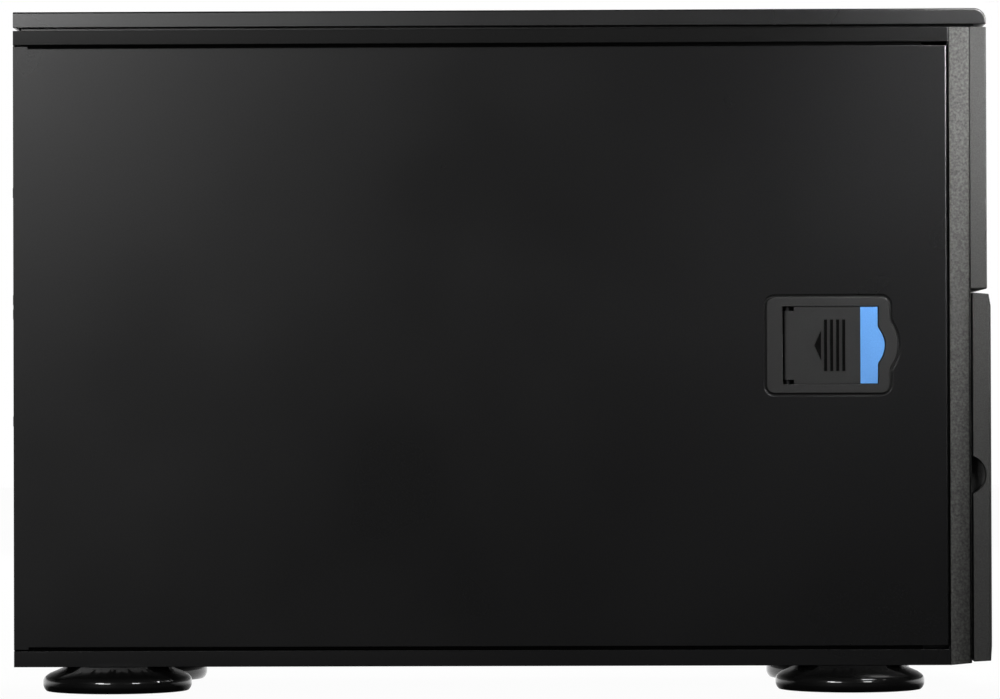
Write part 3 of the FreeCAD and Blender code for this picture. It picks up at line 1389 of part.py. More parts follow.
CPU_HEIGHT = BOARD_HIGH - D.cpu_from_top
CPU_PLACES = [BOARD_FRONT + D.cpu_from_front + count * D.cpu_pitch for count in range(CPU_COUNT)]
MEMORY_TOP = CPU_HEIGHT - D.heatsink_side / 2 - D.memory_pitch
MEMORY_FRONT = BOARD_FRONT + D.memory_from_front


def make_motherboard():
    return box("motherboard", (BOARD_FACE, BOARD_BACK), (BOARD_FRONT, BOARD_REAR), (BOARD_LOW, BOARD_HIGH))


def make_board_standoffs():
    """Hexagonal posts between the right wall and the board."""
    margin = D.standoff_margin
    posts = []
    for row, y in enumerate((BOARD_FRONT + margin, (BOARD_FRONT + BOARD_REAR) / 2, BOARD_REAR - margin)):
        for column, z in enumerate((BOARD_LOW + margin, (BOARD_LOW + BOARD_HIGH) / 2, BOARD_HIGH - margin)):
            post = named("Part::Prism", "standoff_%d_%d" % (row, column))
            post.Polygon = 6
            post.setExpression("Circumradius", D.standoff_radius.text)
            post.setExpression("Height", D.standoff_height.text)
            posts.append(put(post, BOARD_BACK, y, z, "x"))
    return group("board_standoffs", posts)


def make_heatsink(number):
    """A finned sink on its socket. The fins run with the air from front to back."""
    body = new_body("cpu_heatsink_%d" % (number + 1))
    seat = BOARD_FACE - D.cpu_socket_height
    base = seat - D.heatsink_base
    half = D.heatsink_side / 2
    middle = CPU_PLACES[number]
    pad(body, "YZ", [rectangle(
        (middle - half, middle + half), (CPU_HEIGHT - half, CPU_HEIGHT + half))], base, seat)
    fin = pad(body, "YZ", [rectangle(
        (middle - half, middle + half), (CPU_HEIGHT - half, CPU_HEIGHT - half + D.heatsink_fin))],
        seat - D.heatsink_height, base)
    step = (D.heatsink_side - D.heatsink_fin) / (D.heatsink_fin_count - 1)
    repeat(body, fin, "Z", D.heatsink_fin_count, step)
    return body


def make_memory_modules():
    modules = []
    for count in range(int(D.memory_count.number)):
        z = MEMORY_TOP - count * D.memory_pitch
        seat = BOARD_FACE - D.memory_socket_height
        modules.append(box("memory_module_%d" % (count + 1), (seat - D.memory_height, seat),
                           (MEMORY_FRONT, MEMORY_FRONT + D.memory_length),
                           (z - D.memory_thickness / 2, z + D.memory_thickness / 2)))
    return group("memory_modules", modules)


def make_board_sockets():
    """Processor, memory and card sockets on the board's face."""
    sockets = []
    half = D.cpu_side / 2
    for count, y in enumerate(CPU_PLACES):
        sockets.append(box("cpu_socket_%d" % (count + 1), (BOARD_FACE - D.cpu_socket_height, BOARD_FACE),
                           (y - half, y + half), (CPU_HEIGHT - half, CPU_HEIGHT + half)))
    end = D.memory_socket_end
    half = D.memory_socket_width / 2
    for count in range(int(D.memory_count.number)):
        z = MEMORY_TOP - count * D.memory_pitch
        sockets.append(box("memory_socket_%d" % (count + 1),
                           (BOARD_FACE - D.memory_socket_height, BOARD_FACE),
                           (MEMORY_FRONT - end, MEMORY_FRONT + D.memory_length + end), (z - half, z + half)))
    rear = BOARD_REAR - D.card_socket_from_rear
    half = D.card_socket_width / 2
    for count in range(int(D.slot_count.number)):
        z = SLOT_LOWEST + count * D.slot_pitch
        sockets.append(box("card_socket_%d" % (count + 1), (BOARD_FACE - D.card_socket_height, BOARD_FACE),
                           (rear - D.card_socket_length, rear), (z - half, z + half)))
    return group("board_sockets", sockets)


# The rear ports from the top down: width along Z and height off the board.
PORTS = [
    ("usb_stack_a", D.usb_stack_width, D.usb_stack_height),
    ("usb_stack_b", D.usb_stack_width, D.usb_stack_height),
    ("network_a", D.network_port_width, D.network_port_height),
    ("network_b", D.network_port_width, D.network_port_height),
    ("serial", D.serial_port_width, D.serial_port_height),
    ("display", D.serial_port_width, D.serial_port_height),
]


def port_spans():
    """The two heights between which each port lies."""
    spans = []
    top = IO_HIGH - D.port_gap
    for name, width, height in PORTS:
        spans.append((name, top - width, top, height))
        top = top - width - D.port_gap
    return spans


def make_io_ports():
    """The rear ports. The network sockets are open to the rear."""
    ports = []
    for name, low, high, height in port_spans():
        block = box(name, (BOARD_FACE - height, BOARD_FACE), (REAR - D.port_depth, REAR), (low, high))
        if name.startswith("network"):
            middle = (low + high) / 2
            across = BOARD_FACE - height / 2
            hollow = box(name + "_hollow",
                         (across - D.network_socket_height / 2, across + D.network_socket_height / 2),
                         (REAR - D.network_socket_depth, REAR),
                         (middle - D.network_socket_width / 2, middle + D.network_socket_width / 2))
            block = cut(name + "_socket", block, [hollow])
        ports.append(block)
    return group("io_ports", ports)


def make_io_shield():
    """The thin plate behind the rear wall's window, cut for each port."""
    body = new_body("io_shield")
    reach = D.io_shield_overlap
    front = BACK - D.io_shield_thickness
    pad(body, "XZ", [rectangle(
        (BOARD_FACE - D.io_width - reach, BOARD_FACE + D.part_clearance), (IO_LOW - reach, IO_HIGH + reach))],
        front, BACK)
    gap = D.part_clearance
    for name, low, high, height in port_spans():
        pocket(body, "XZ", [rectangle(
            (BOARD_FACE - height - gap, BOARD_FACE + gap), (low - gap, high + gap))], front, BACK)
    return body


def make_slot_covers():
    """Seven blank brackets behind the card slots, each with a bent screw tab."""
    body = new_body("slot_covers")
    half = D.slot_cover_width / 2
    heights = (SLOT_LOWEST - half, SLOT_LOWEST + half)
    left = SLOT_RIGHT - D.slot_length - D.slot_cover_overlap
    thick = D.slot_cover_thickness
    bracket = pad(body, "XY", [outline([
        (left, BACK - D.slot_cover_tab), (left + thick, BACK - D.slot_cover_tab),
        (left + thick, BACK - thick), (SLOT_RIGHT, BACK - thick), (SLOT_RIGHT, BACK), (left, BACK)])],
        *heights)
    repeat(body, bracket, "Z", D.slot_count, D.slot_pitch)
    return body


# Power supply

PSU_MIDDLE = (PSU_LOW + PSU_HIGH) / 2
PSU_PLATE = BACK - D.psu_skin


def make_psu_case():
    """A sheet box with a slotted fan grille and the inlet's opening behind, and intake slots in front."""
    body = new_body("psu_case")
    half = D.psu_width / 2
    whole = rectangle((-half, half), (PSU_LOW, PSU_HIGH))
    inside = rectangle((D.psu_skin - half, half - D.psu_skin), (PSU_LOW + D.psu_skin, PSU_HIGH - D.psu_skin))
    pad(body, "XZ", [whole, inside], PSU_FRONT, BACK)
    pad(body, "XZ", [whole], PSU_PLATE, BACK)
    pad(body, "XZ", [whole], PSU_FRONT, PSU_FRONT + D.psu_skin)
    first = D.psu_fan_across - (D.psu_slot_count - 1) * D.psu_slot_pitch / 2
    slot = rectangle((first - D.psu_slot_width / 2, first + D.psu_slot_width / 2),
                     (PSU_MIDDLE - D.psu_slot_height / 2, PSU_MIDDLE + D.psu_slot_height / 2))
    for low in (PSU_PLATE, PSU_FRONT):
        opening = pocket(body, "XZ", [slot], low, low + D.psu_skin)
        repeat(body, opening, "X", D.psu_slot_count, D.psu_slot_pitch)
    wide = D.inlet_width / 2 + D.part_clearance
    tall = D.inlet_height / 2 + D.part_clearance
    pocket(body, "XZ", [rectangle(
        (D.inlet_across - wide, D.inlet_across + wide), (PSU_MIDDLE - tall, PSU_MIDDLE + tall))],
        PSU_PLATE, BACK)
    return body


def make_psu_inlet():
    """The mains inlet: an open socket with three pins."""
    body = new_body("psu_inlet")
    wide, tall = D.inlet_width / 2, D.inlet_height / 2
    pad(body, "XZ", [rectangle((-wide, wide), (-tall, tall))], BACK - D.inlet_depth, BACK)
    wall = D.inlet_wall
    floor = BACK - D.inlet_socket_depth
    pocket(body, "XZ", [rectangle((wall - wide, wide - wall), (wall - tall, tall - wall))], floor, BACK)
    across, rise = D.inlet_pin_width / 2, D.inlet_pin_height / 2
    for place, lift in ((-D.inlet_pin_step, -D.inlet_pin_width), (ZERO, D.inlet_pin_width),
                        (D.inlet_pin_step, -D.inlet_pin_width)):
        pad(body, "XZ", [rectangle((place - across, place + across), (lift - rise, lift + rise))],
            floor, floor + D.inlet_pin_length)
    return put(body, D.inlet_across, ZERO, PSU_MIDDLE)


# The whole server

def make_fans():
    """Four fans on the middle wall, two on the rear wall and one in the power supply."""
    mid_y = FAN_WALL + D.sheet
    mid = [(D.mid_fan_across, mid_y, MID_FAN_LOWEST + count * MID_FAN_PITCH)
           for count in range(int(D.mid_fan_count.number))]
    rear = [(D.rear_fan_across, BACK - D.fan_depth, REAR_FAN_LOWEST + count * REAR_FAN_PITCH)
            for count in range(int(D.rear_fan_count.number))]
    supply = (D.psu_fan_across, PSU_PLATE - D.fan_depth, PSU_MIDDLE)
    fans = []
    for wall, places in (("mid", mid), ("rear", rear)):
        frames = [make_fan_frame("%s_fan_frame_%d" % (wall, count), *place)
                  for count, place in enumerate(places, start=1)]
        fans.append(group("%s_fan_frames" % wall, frames))
        fans += [make_fan_rotor("%s_fan_rotor_%d" % (wall, count), *place)
                 for count, place in enumerate(places, start=1)]
    guards = [make_fan_guard("rear_fan_guard_%d" % count, x, REAR, z)
              for count, (x, y, z) in enumerate(rear, start=1)]
    fans.append(group("rear_fan_guards", guards))
    fans.append(make_fan_frame("psu_fan_frame", *supply))
    fans.append(make_fan_rotor("psu_fan_rotor", *supply))
    return fans


def make_all():
    """Every sub-part, each with the label that names its file."""
    drives = range(int(D.drive_count.number))
    subparts = [
        edge_pan("floor_pan", BOTTOM, 1, D.bottom_strip),
        edge_pan("roof_panel", TOP, -1, D.top_strip),
        make_right_wall(),
        make_rear_wall(),
        make_front_wall(),
        make_fan_wall(),
        make_top_cover(),
        make_foot_pads(),
        make_bezel_frame(),
        make_upper_fascia(),
        make_front_door(),
        make_door_grille(),
        make_door_hinge_pins(),
        make_lock_barrel(),
        make_side_panel(),
        make_latch_housing(),
        make_latch_paddle(),
        make_latch_grip(),
        make_latch_pin(),
        make_latch_strike(),
        make_drive_cage(),
        group("drive_trays", [make_drive_tray(number) for number in drives]),
        group("hard_drives", [make_hard_drive(number) for number in drives]),
        make_drive_backplane(),
        make_bay_cage(),
        make_control_board(),
        make_button("power", D.power_button_radius),
        make_button("reset", D.reset_button_radius),
        make_light_pipes(),
        make_usb_ports(),
        make_motherboard(),
        make_board_standoffs(),
        group("cpu_heatsinks", [make_heatsink(number) for number in range(CPU_COUNT)]),
        make_memory_modules(),
        make_board_sockets(),
        make_io_ports(),
        make_io_shield(),
        make_slot_covers(),
        make_psu_case(),
        make_psu_inlet(),
    ]
    subparts += [make_foot(corner) for corner in FOOT_PLACES]
    subparts += [make_bay_blank(number) for number in range(int(D.bay_count.number))]
    return subparts + make_fans()


SUBPARTS = make_all()
doc.recompute()
for thing in doc.Objects:
    if "Invalid" in thing.State or "Error" in thing.State:
        raise RuntimeError("%s didn't build" % thing.Label)
for subpart in SUBPARTS:
    if subpart.Shape.isNull() or not subpart.Shape.isValid():
        raise RuntimeError("%s has no sound shape" % subpart.Label)
os.makedirs("parts", exist_ok=True)
for subpart in SUBPARTS:
    subpart.Shape.exportStep("parts/%s.step" % subpart.Label)
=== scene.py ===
# %% [markdown]
# # A tower server on disc feet
#
# The server is a long black steel box with a moulded front and a smooth lid, photographed square-on from
# its access side. Its solids come from the measured model, so every joint and gap is already in place.
# This lesson gives them their finishes, softens the edges that catch the light, adds the small parts that
# a drawing leaves out, and sets up the studio.

# %% Load the measured model
import bmesh
import bpy
import json
import math
from mathutils import Matrix, Vector


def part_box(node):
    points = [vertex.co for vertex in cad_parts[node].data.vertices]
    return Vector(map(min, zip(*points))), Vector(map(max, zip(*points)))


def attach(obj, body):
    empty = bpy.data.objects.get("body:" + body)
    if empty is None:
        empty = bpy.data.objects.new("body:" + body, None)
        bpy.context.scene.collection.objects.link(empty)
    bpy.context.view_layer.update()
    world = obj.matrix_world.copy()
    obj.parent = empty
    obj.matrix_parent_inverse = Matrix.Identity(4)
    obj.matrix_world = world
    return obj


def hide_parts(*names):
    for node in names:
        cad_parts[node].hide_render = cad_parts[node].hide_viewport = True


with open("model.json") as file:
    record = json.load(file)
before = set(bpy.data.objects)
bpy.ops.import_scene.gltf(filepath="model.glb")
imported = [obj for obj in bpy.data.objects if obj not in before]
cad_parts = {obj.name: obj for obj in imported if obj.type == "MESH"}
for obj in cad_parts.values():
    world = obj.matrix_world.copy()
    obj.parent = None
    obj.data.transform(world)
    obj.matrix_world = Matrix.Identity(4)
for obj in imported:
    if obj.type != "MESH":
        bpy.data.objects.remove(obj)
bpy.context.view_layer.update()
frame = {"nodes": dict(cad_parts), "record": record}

NODES = frame["nodes"]
MM = 0.001
SLOT_OF = {subpart["node"]: subpart["material_slot"] for subpart in frame["record"]["subparts"]}
BODY_OF = {node: body for body, nodes in frame["record"]["behaviour"]["bodies"].items() for node in nodes}

# %% [markdown]
# ## Colours and nodes
#
# Paint charts give colours as hex values on the sRGB scale, but a shader mixes light, so it wants linear
# values. One function turns the first into the second. A second function adds a shader node with its
# settings and its inputs in one line, which keeps each finish short enough to read as a recipe.

# %% Helpers for finishes
def paint(code):
    """A hex colour from a paint chart as the linear colour that a shader takes."""
    channels = [int(code[at:at + 2], 16) / 255 for at in (1, 3, 5)]
    linear = [c / 12.92 if c <= 0.04045 else ((c + 0.055) / 1.055) ** 2.4 for c in channels]
    return (*linear, 1.0)


def add_node(tree, kind, inputs=None, **settings):
    """Adds a node. An input given as a socket is linked, and one given as a value is set."""
    node = tree.nodes.new(kind)
    for name, value in settings.items():
        setattr(node, name, value)
    for name, value in (inputs or {}).items():
        if isinstance(value, bpy.types.NodeSocket):
            tree.links.new(value, node.inputs[name])
        else:
            node.inputs[name].default_value = value
    return node


def per_mm(size):
    """The texture scale at which one feature is that many millimetres wide."""
    return 1 / (size * MM)


def new_finish(name, **values):
    """A material with its shader's constants set, and the place on the object that its patterns read."""
    finish = bpy.data.materials.new(name)
    finish.use_nodes = True
    tree = finish.node_tree
    shader = tree.nodes["Principled BSDF"]
    for label, value in values.items():
        shader.inputs[label.replace("_", " ")].default_value = value
    place = add_node(tree, "ShaderNodeTexCoord").outputs["Object"]
    return finish, tree, shader, place


FINISHES = {}
print("helpers ready")

# %% [markdown]
# ## How most surfaces here are made
#
# A moulded, painted or plated surface is never one flat colour. It has a fine grain, which breaks up its
# colour and its highlight, and a slow drift in gloss from one end to the other. Most finishes below differ
# only in the size and depth of that grain, so one recipe makes them: a fine noise for colour and bump, and
# a broad noise for roughness. Shade falls in the narrow gaps of matt mouldings, so the recipe can also
# paint shade: it darkens a surface that another one almost touches. What is special to a finish is then
# added to it.

# %% The shared recipe for a grained surface
NOISE_LOW, NOISE_HIGH = 0.3, 0.7
DRIFT_WIDTH = 130


def grained(name, slot, dark, light, grain, depth, dull, gap=None, **values):
    """A finish between two colours. Grain, bump depth and the reach of painted shade in gaps are in mm, dull
    is a range.

    It goes to every piece of its slot, or with no slot, only to the pieces that it is listed for.
    """
    finish, tree, shader, place = new_finish(name, **values)
    fine = add_node(tree, "ShaderNodeTexNoise", {"Vector": place, "Scale": per_mm(grain), "Detail": 3.0})
    drift = add_node(tree, "ShaderNodeTexNoise", {
        "Vector": place, "Scale": per_mm(DRIFT_WIDTH), "Detail": 2.0})
    spread = add_node(tree, "ShaderNodeMapRange", {
        "Value": fine.outputs["Fac"], "From Min": NOISE_LOW, "From Max": NOISE_HIGH})
    shade = add_node(tree, "ShaderNodeMix", {
        "Factor": spread.outputs["Result"], "A": paint(dark), "B": paint(light)}, data_type="RGBA")
    gloss = add_node(tree, "ShaderNodeMapRange", {
        "Value": drift.outputs["Fac"], "From Min": NOISE_LOW, "From Max": NOISE_HIGH,
        "To Min": dull[0], "To Max": dull[1]})
    bump = add_node(tree, "ShaderNodeBump", {
        "Height": fine.outputs["Fac"], "Strength": 1.0, "Distance": depth * MM})
    colour = shade.outputs["Result"]
    # Painted shade: where another surface lies within the gap distance, the colour is mixed towards near
    # black, as shade falls in a gap.
    if gap:
        open_sky = add_node(tree, "ShaderNodeAmbientOcclusion", {"Distance": gap * MM}, samples=8)
        deep = add_node(tree, "ShaderNodeMath", {0: open_sky.outputs["AO"], 1: 2.0}, operation="POWER")
        shaded = add_node(tree, "ShaderNodeMix", {
            "Factor": deep.outputs[0], "A": paint("#020202"), "B": colour}, data_type="RGBA")
        colour = shaded.outputs["Result"]
    tree.links.new(colour, shader.inputs["Base Color"])
    tree.links.new(gloss.outputs["Result"], shader.inputs["Roughness"])
    tree.links.new(bump.outputs["Normal"], shader.inputs["Normal"])
    if slot:
        FINISHES[slot] = finish
    return finish, tree, shader, place


print("recipe ready, drift in gloss over", DRIFT_WIDTH, "mm")

# %% [markdown]
# ## Powder-coated steel
#
# The chassis sheets and the side cover are steel with a baked black powder coat. The powder melts into a
# skin that is never quite flat: it has a fine orange peel, about a millimetre across, which spreads the
# reflection of the studio into a soft gradient. The front fold of a sheet is glossier than its flat, and
# one finish with two levels of sheen, chosen by the place along the sheet, is simpler than two finishes.

# %% Powder-coated steel
PEEL_WIDTH, PEEL_DEPTH = 1.1, 0.005
SATIN, STRIP_SHEEN, FOLD_SHEEN = 0.28, 0.16, 0.6
FOLD_BRIGHT, FOLD_END = 0.6 * MM, 1.4 * MM
COVER_BLACK = {"dark": "#0f0f0f", "light": "#161617", "dull": (0.27, 0.32)}
SHADED_STRIP_BLACK = {"dark": "#0a0a0a", "light": "#101010", "dull": (0.34, 0.40)}


def powder_coat(name, slot, sheen, **look):
    """A powder coat with its orange peel."""
    return grained(name, slot, grain=PEEL_WIDTH, depth=PEEL_DEPTH, Specular_IOR_Level=sheen, IOR=1.5, **look)


def folded_coat(name, node, sheen, **look):
    """A powder coat that is glossier where the sheet of a piece folds in at its front end."""
    finish, tree, shader, place = powder_coat(name, None, sheen, **look)
    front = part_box(node)[0][1]
    along = add_node(tree, "ShaderNodeSeparateXYZ", {0: place}).outputs["Y"]
    fold = add_node(tree, "ShaderNodeMapRange", {
        "Value": along, "From Min": front + FOLD_END, "From Max": front + FOLD_BRIGHT,
        "To Min": sheen, "To Max": FOLD_SHEEN})
    tree.links.new(fold.outputs["Result"], shader.inputs["Specular IOR Level"])
    return finish


# Strip coat: a darker, duller copy of the powder coat on the strip that lies recessed under the lid; its
# darker colour is painted shade.
SHADED_STRIP_COAT = folded_coat("thin_powder_coat", "roof_panel", STRIP_SHEEN, **SHADED_STRIP_BLACK)
# Powder coat on a folded cover: satin, with a bright line where the front fold is rubbed by hands.
COVER_COAT = folded_coat("folded_powder_coat", "side_panel", SATIN, **COVER_BLACK)
# Black powder coat: a satin sheen that shows the lights as broad, dim patches.
powder_coat("powder_coated_steel", "painted_steel", SATIN, **COVER_BLACK)

# %% [markdown]
# ## Zinc-plated steel
#
# Inner brackets, cages, port shells and slot covers are plated after they are bent. The plating is bluish
# silver with a faint spangle, so a cell pattern a few millimetres wide shifts its brightness from grain to
# grain.

# %% Zinc-plated steel
SPANGLE_WIDTH, SPANGLE_SHARE = 4, 0.25
# Zinc plate: a silvery metal with a slightly clouded mirror.
tree, shader, place = grained(
    "zinc_plated_steel", "zinc_steel", "#a6a9ad", "#c3c6ca", 0.6, 0.002, (0.30, 0.42), Metallic=1.0)[1:]
spangle = add_node(tree, "ShaderNodeTexVoronoi", {"Vector": place, "Scale": per_mm(SPANGLE_WIDTH)})
plain = shader.inputs["Base Color"].links[0].from_socket
flake = add_node(tree, "ShaderNodeRGBToBW", {"Color": spangle.outputs["Color"]})
clouded = add_node(
    tree, "ShaderNodeMix", {"Factor": SPANGLE_SHARE, "A": plain, "B": flake.outputs["Val"]},
    data_type="RGBA", blend_type="SOFT_LIGHT")
tree.links.new(clouded.outputs["Result"], shader.inputs["Base Color"])
print("finishes", sorted(FINISHES))

# %% [markdown]
# ## Lid, bezel, fascia and door
#
# The lid comes from a polished mould and shines. The bezel, the fascia and the door come from a mould that
# was spark-eroded, which leaves a coarse sandy grain that scatters light and makes the same black look
# grey. Such a grain could be modelled, but a bump that moves the light shows the same at this distance.
# The grain of the bezel shows as specks in the photograph, so it is drawn a little coarser than the real
# half millimetre.

# %% Lid, bezel, fascia and door
# Polished ABS: a dark body with a clear highlight.
grained("semi_gloss_abs", "cover_plastic", "#161616", "#1c1c1d", 1.6, 0.004, (0.26, 0.34), IOR=1.53)
# Both spark-eroded finishes get painted shade up to 1.5 mm into their gaps.
# Spark-eroded ABS: a sandy, charcoal surface with no clear reflection.
COARSE_ABS = grained("spark_eroded_abs", None, "#242423", "#474745", 1.5, 0.12, (0.60, 0.72), gap=1.5,
                     IOR=1.53, Specular_IOR_Level=0.35)[0]
# Spark-eroded ABS with a finer grain: a shade darker and smoother, on the door and the fascia.
grained("fine_eroded_abs", "bezel_plastic", "#222221", "#353534", 0.8, 0.05, (0.50, 0.60), gap=1.5,
        IOR=1.53, Specular_IOR_Level=0.35)
print("finishes", sorted(FINISHES))

# %% [markdown]
# ## Latch, feet and foam
#
# The latch is nylon, matt and even, with a blue tab that says where to pull. The feet come from a polished
# mould and mirror the studio, so they get a clear coat over a black body. Their pads are rubber, and the
# strips that seal the side cover are foamed rubber. These differ from the other mouldings in gloss far
# more than in colour.

# %% Latch, feet and foam
# The gap entry paints shade up to 2 mm into the latch's gaps.
NYLON = {"dark": "#161616", "light": "#1c1c1c", "grain": 0.8, "depth": 0.02, "dull": (0.50, 0.58),
         "gap": 2.0, "IOR": 1.53, "Specular_IOR_Level": 0.3}
# Nylon: even, dark grey and matt.
grained("matt_nylon", "latch_plastic", **NYLON)
# The blue tab gets painted shade up to 0.5 mm into its gaps.
# Sky blue ABS: the colour that marks a part to press or pull.
grained("sky_blue_abs", "grip_plastic", "#4a80be", "#538bc8", 0.8, 0.012, (0.40, 0.48), gap=0.5, IOR=1.53)
# Polished black ABS: almost a mirror, with no colour of its own.
grained("polished_black_abs", "foot_plastic", "#060606", "#0a0a0a", 2.5, 0.002, (0.30, 0.36), IOR=1.5,
        Specular_IOR_Level=0.1, Coat_Weight=1.0, Coat_Roughness=0.05, Coat_IOR=1.55)
# Rubber: dull, with a dusty grey cast.
grained("moulded_rubber", "foot_rubber", "#121212", "#1d1d1d", 0.7, 0.05, (0.78, 0.88),
        Specular_IOR_Level=0.25)
# Cellular rubber: open pores swallow light, so it is the blackest surface here, and painted shade up to 4 mm
# into its gaps makes it darker still.
SHADE_CELL_RUBBER = grained("cellular_rubber", None, "#030303", "#060606", 0.9, 0.08, (0.9, 1.0), gap=4.0,
                      Specular_IOR_Level=0.02)[0]
print("finishes", sorted(FINISHES))

# %% [markdown]
# ## Buttons, fans, sockets and light pipes
#
# The smaller mouldings are plain plastics. Buttons are kept clean by fingers, fans have glass fibre in
# them so that they don't creep at speed, sockets have to stand the heat of soldering, and the light pipes
# behind the fascia are clear acrylic. The shared recipe is enough for each.

# %% Buttons, fans, sockets and light pipes
# Dark grey ABS: the shine of a part that fingers keep clean.
grained("button_abs", "button_plastic", "#2a2a2b", "#343436", 1.2, 0.004, (0.22, 0.30), IOR=1.53)
# Glass-filled nylon: black with a faint, dull mottle.
grained("glass_filled_nylon", "fan_plastic", "#0e0e0e", "#191919", 0.5, 0.02, (0.45, 0.58), IOR=1.53)
# High-temperature resin: the brownish black of board sockets.
grained("socket_resin", "socket_plastic", "#141312", "#211f1d", 0.5, 0.02, (0.50, 0.62), IOR=1.6)
# Acrylic: clear with a milky end.
grained("clear_acrylic", "light_pipe", "#cfd8d2", "#e6eee8", 1.5, 0.003, (0.12, 0.20), IOR=1.49,
        Transmission_Weight=0.6)
print("finishes", sorted(FINISHES))

# %% [markdown]
# ## Inked marks on the latch
#
# The ribs and the arrow on the paddle are raised by a quarter of a millimetre, too little to show from the
# front. On the real latch the raised marks are dark, as if a roller had inked their tops. A roller only
# touches what stands highest, so the finish darkens by height alone.

# %% Inked marks on the latch
INK_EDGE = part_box("latch_paddle")[0][0] + 0.2 * MM
INK_SHEEN = 0.05
# Inked nylon: the same matt grey, with black on its highest faces.
INKED, tree, shader, place = grained("inked_nylon", None, **NYLON)
height = add_node(tree, "ShaderNodeSeparateXYZ", {0: place}).outputs["X"]
marks = add_node(tree, "ShaderNodeMath", {0: height, 1: INK_EDGE}, operation="LESS_THAN")
body = shader.inputs["Base Color"].links[0].from_socket
inked = add_node(tree, "ShaderNodeMix", {
    "Factor": marks.outputs[0], "A": body, "B": paint("#030303")}, data_type="RGBA")
sheen = add_node(tree, "ShaderNodeMapRange", {
    "Value": marks.outputs[0], "To Min": NYLON["Specular_IOR_Level"], "To Max": INK_SHEEN})
tree.links.new(inked.outputs["Result"], shader.inputs["Base Color"])
tree.links.new(sheen.outputs["Result"], shader.inputs["Specular IOR Level"])
print("marks stand beyond x in mm", round(INK_EDGE / MM, 2))

# %% [markdown]
# ## Fan guards
#
# The guards on the rear fans are black nylon, and the cap in the middle is a red-brown grip, the colour
# that marks a part which may be pulled while the machine runs. Both are one moulding here, so the colour
# follows the distance from each fan's axis.

# %% Fan guards
GRIP_RADIUS = 12.2 * MM
# Nylon in two colours: black bars and a red-brown grip.
tree, shader, place = grained(
    "two_colour_nylon", "guard_plastic", "#0f0e0e", "#181616", 0.8, 0.02, (0.42, 0.52), IOR=1.53)[1:]
flat = add_node(tree, "ShaderNodeVectorMath", {0: place, 1: (1, 0, 1)}, operation="MULTIPLY")
grips = []
for rotor in ("rear_fan_rotor_1", "rear_fan_rotor_2"):
    low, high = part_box(rotor)
    axis = ((low[0] + high[0]) / 2, 0, (low[2] + high[2]) / 2)
    away = add_node(tree, "ShaderNodeVectorMath", {0: flat.outputs["Vector"], 1: axis}, operation="DISTANCE")
    near = add_node(tree, "ShaderNodeMath", {
        0: away.outputs["Value"], 1: GRIP_RADIUS}, operation="LESS_THAN")
    grips.append(near.outputs[0])
either = add_node(tree, "ShaderNodeMath", {0: grips[0], 1: grips[1]}, operation="MAXIMUM")
bars = shader.inputs["Base Color"].links[0].from_socket
both = add_node(tree, "ShaderNodeMix", {
    "Factor": either.outputs[0], "A": bars, "B": paint("#4a1f1a")}, data_type="RGBA")
tree.links.new(both.outputs["Result"], shader.inputs["Base Color"])
print("grip radius in mm", round(GRIP_RADIUS / MM, 1))

# %% [markdown]
# ## Metals
#
# Heat sinks are extruded, so fine die lines run along them. Drives are cast, brass posts are turned, hinge
# pins are blackened, and the lock is chromed. Each is a metal with its own colour, grain and gloss, which
# the shared recipe gives, and only the die lines are drawn as a pattern of their own.

# %% Metals
# Blackened steel: a dark oxide skin with a dull metal sheen.
grained("black_oxide_steel", "pin_steel", "#161617", "#232325", 0.6, 0.004, (0.42, 0.52), Metallic=0.6)
# Chrome plate: bright, with fine polishing haze.
grained("chrome_plate", "lock_chrome", "#c8cacc", "#dcdee0", 2.0, 0.002, (0.08, 0.16), Metallic=1.0)
# Cast aluminium: a pale, softly pitted metal.
grained("cast_aluminium", "drive_aluminium", "#a2a4a6", "#bcbec0", 1.0, 0.02, (0.42, 0.52), Metallic=1.0)
# Turned brass: warm, with an even sheen.
grained("turned_brass", "brass_post", "#a98545", "#c29b55", 0.5, 0.004, (0.28, 0.36), Metallic=1.0)
DIE_LINE, DIE_DEPTH = 0.5, 0.01
# Extruded aluminium: bright, with die lines along its length.
tree, shader, place = grained(
    "extruded_aluminium", "sink_aluminium", "#b9bbbd", "#d2d4d6", 0.8, 0.004, (0.28, 0.36), Metallic=1.0)[1:]
drawn = add_node(tree, "ShaderNodeMapping", {"Vector": place, "Scale": (1, 0.02, 1)})
lines = add_node(tree, "ShaderNodeTexNoise", {"Vector": drawn.outputs["Vector"], "Scale": per_mm(DIE_LINE)})
bump = add_node(tree, "ShaderNodeBump", {
    "Height": lines.outputs["Fac"], "Strength": 0.5, "Distance": DIE_DEPTH * MM})
tree.links.new(bump.outputs["Normal"], shader.inputs["Normal"])
print("finishes", sorted(FINISHES))

# %% [markdown]
# ## Circuit boards
#
# A board is glass and resin under a green lacquer. Copper tracks lie below the lacquer and show as lighter
# lines that turn in right angles. A brick pattern with thin mortar gives such lines at track spacing. Real
# tracks are a fifth of a millimetre wide, so they are drawn coarser to show.

# %% Circuit boards
TRACK_PITCH, TRACK_WIDTH = 12, 0.03
BLACK, WHITE = (0, 0, 0, 1), (1, 1, 1, 1)
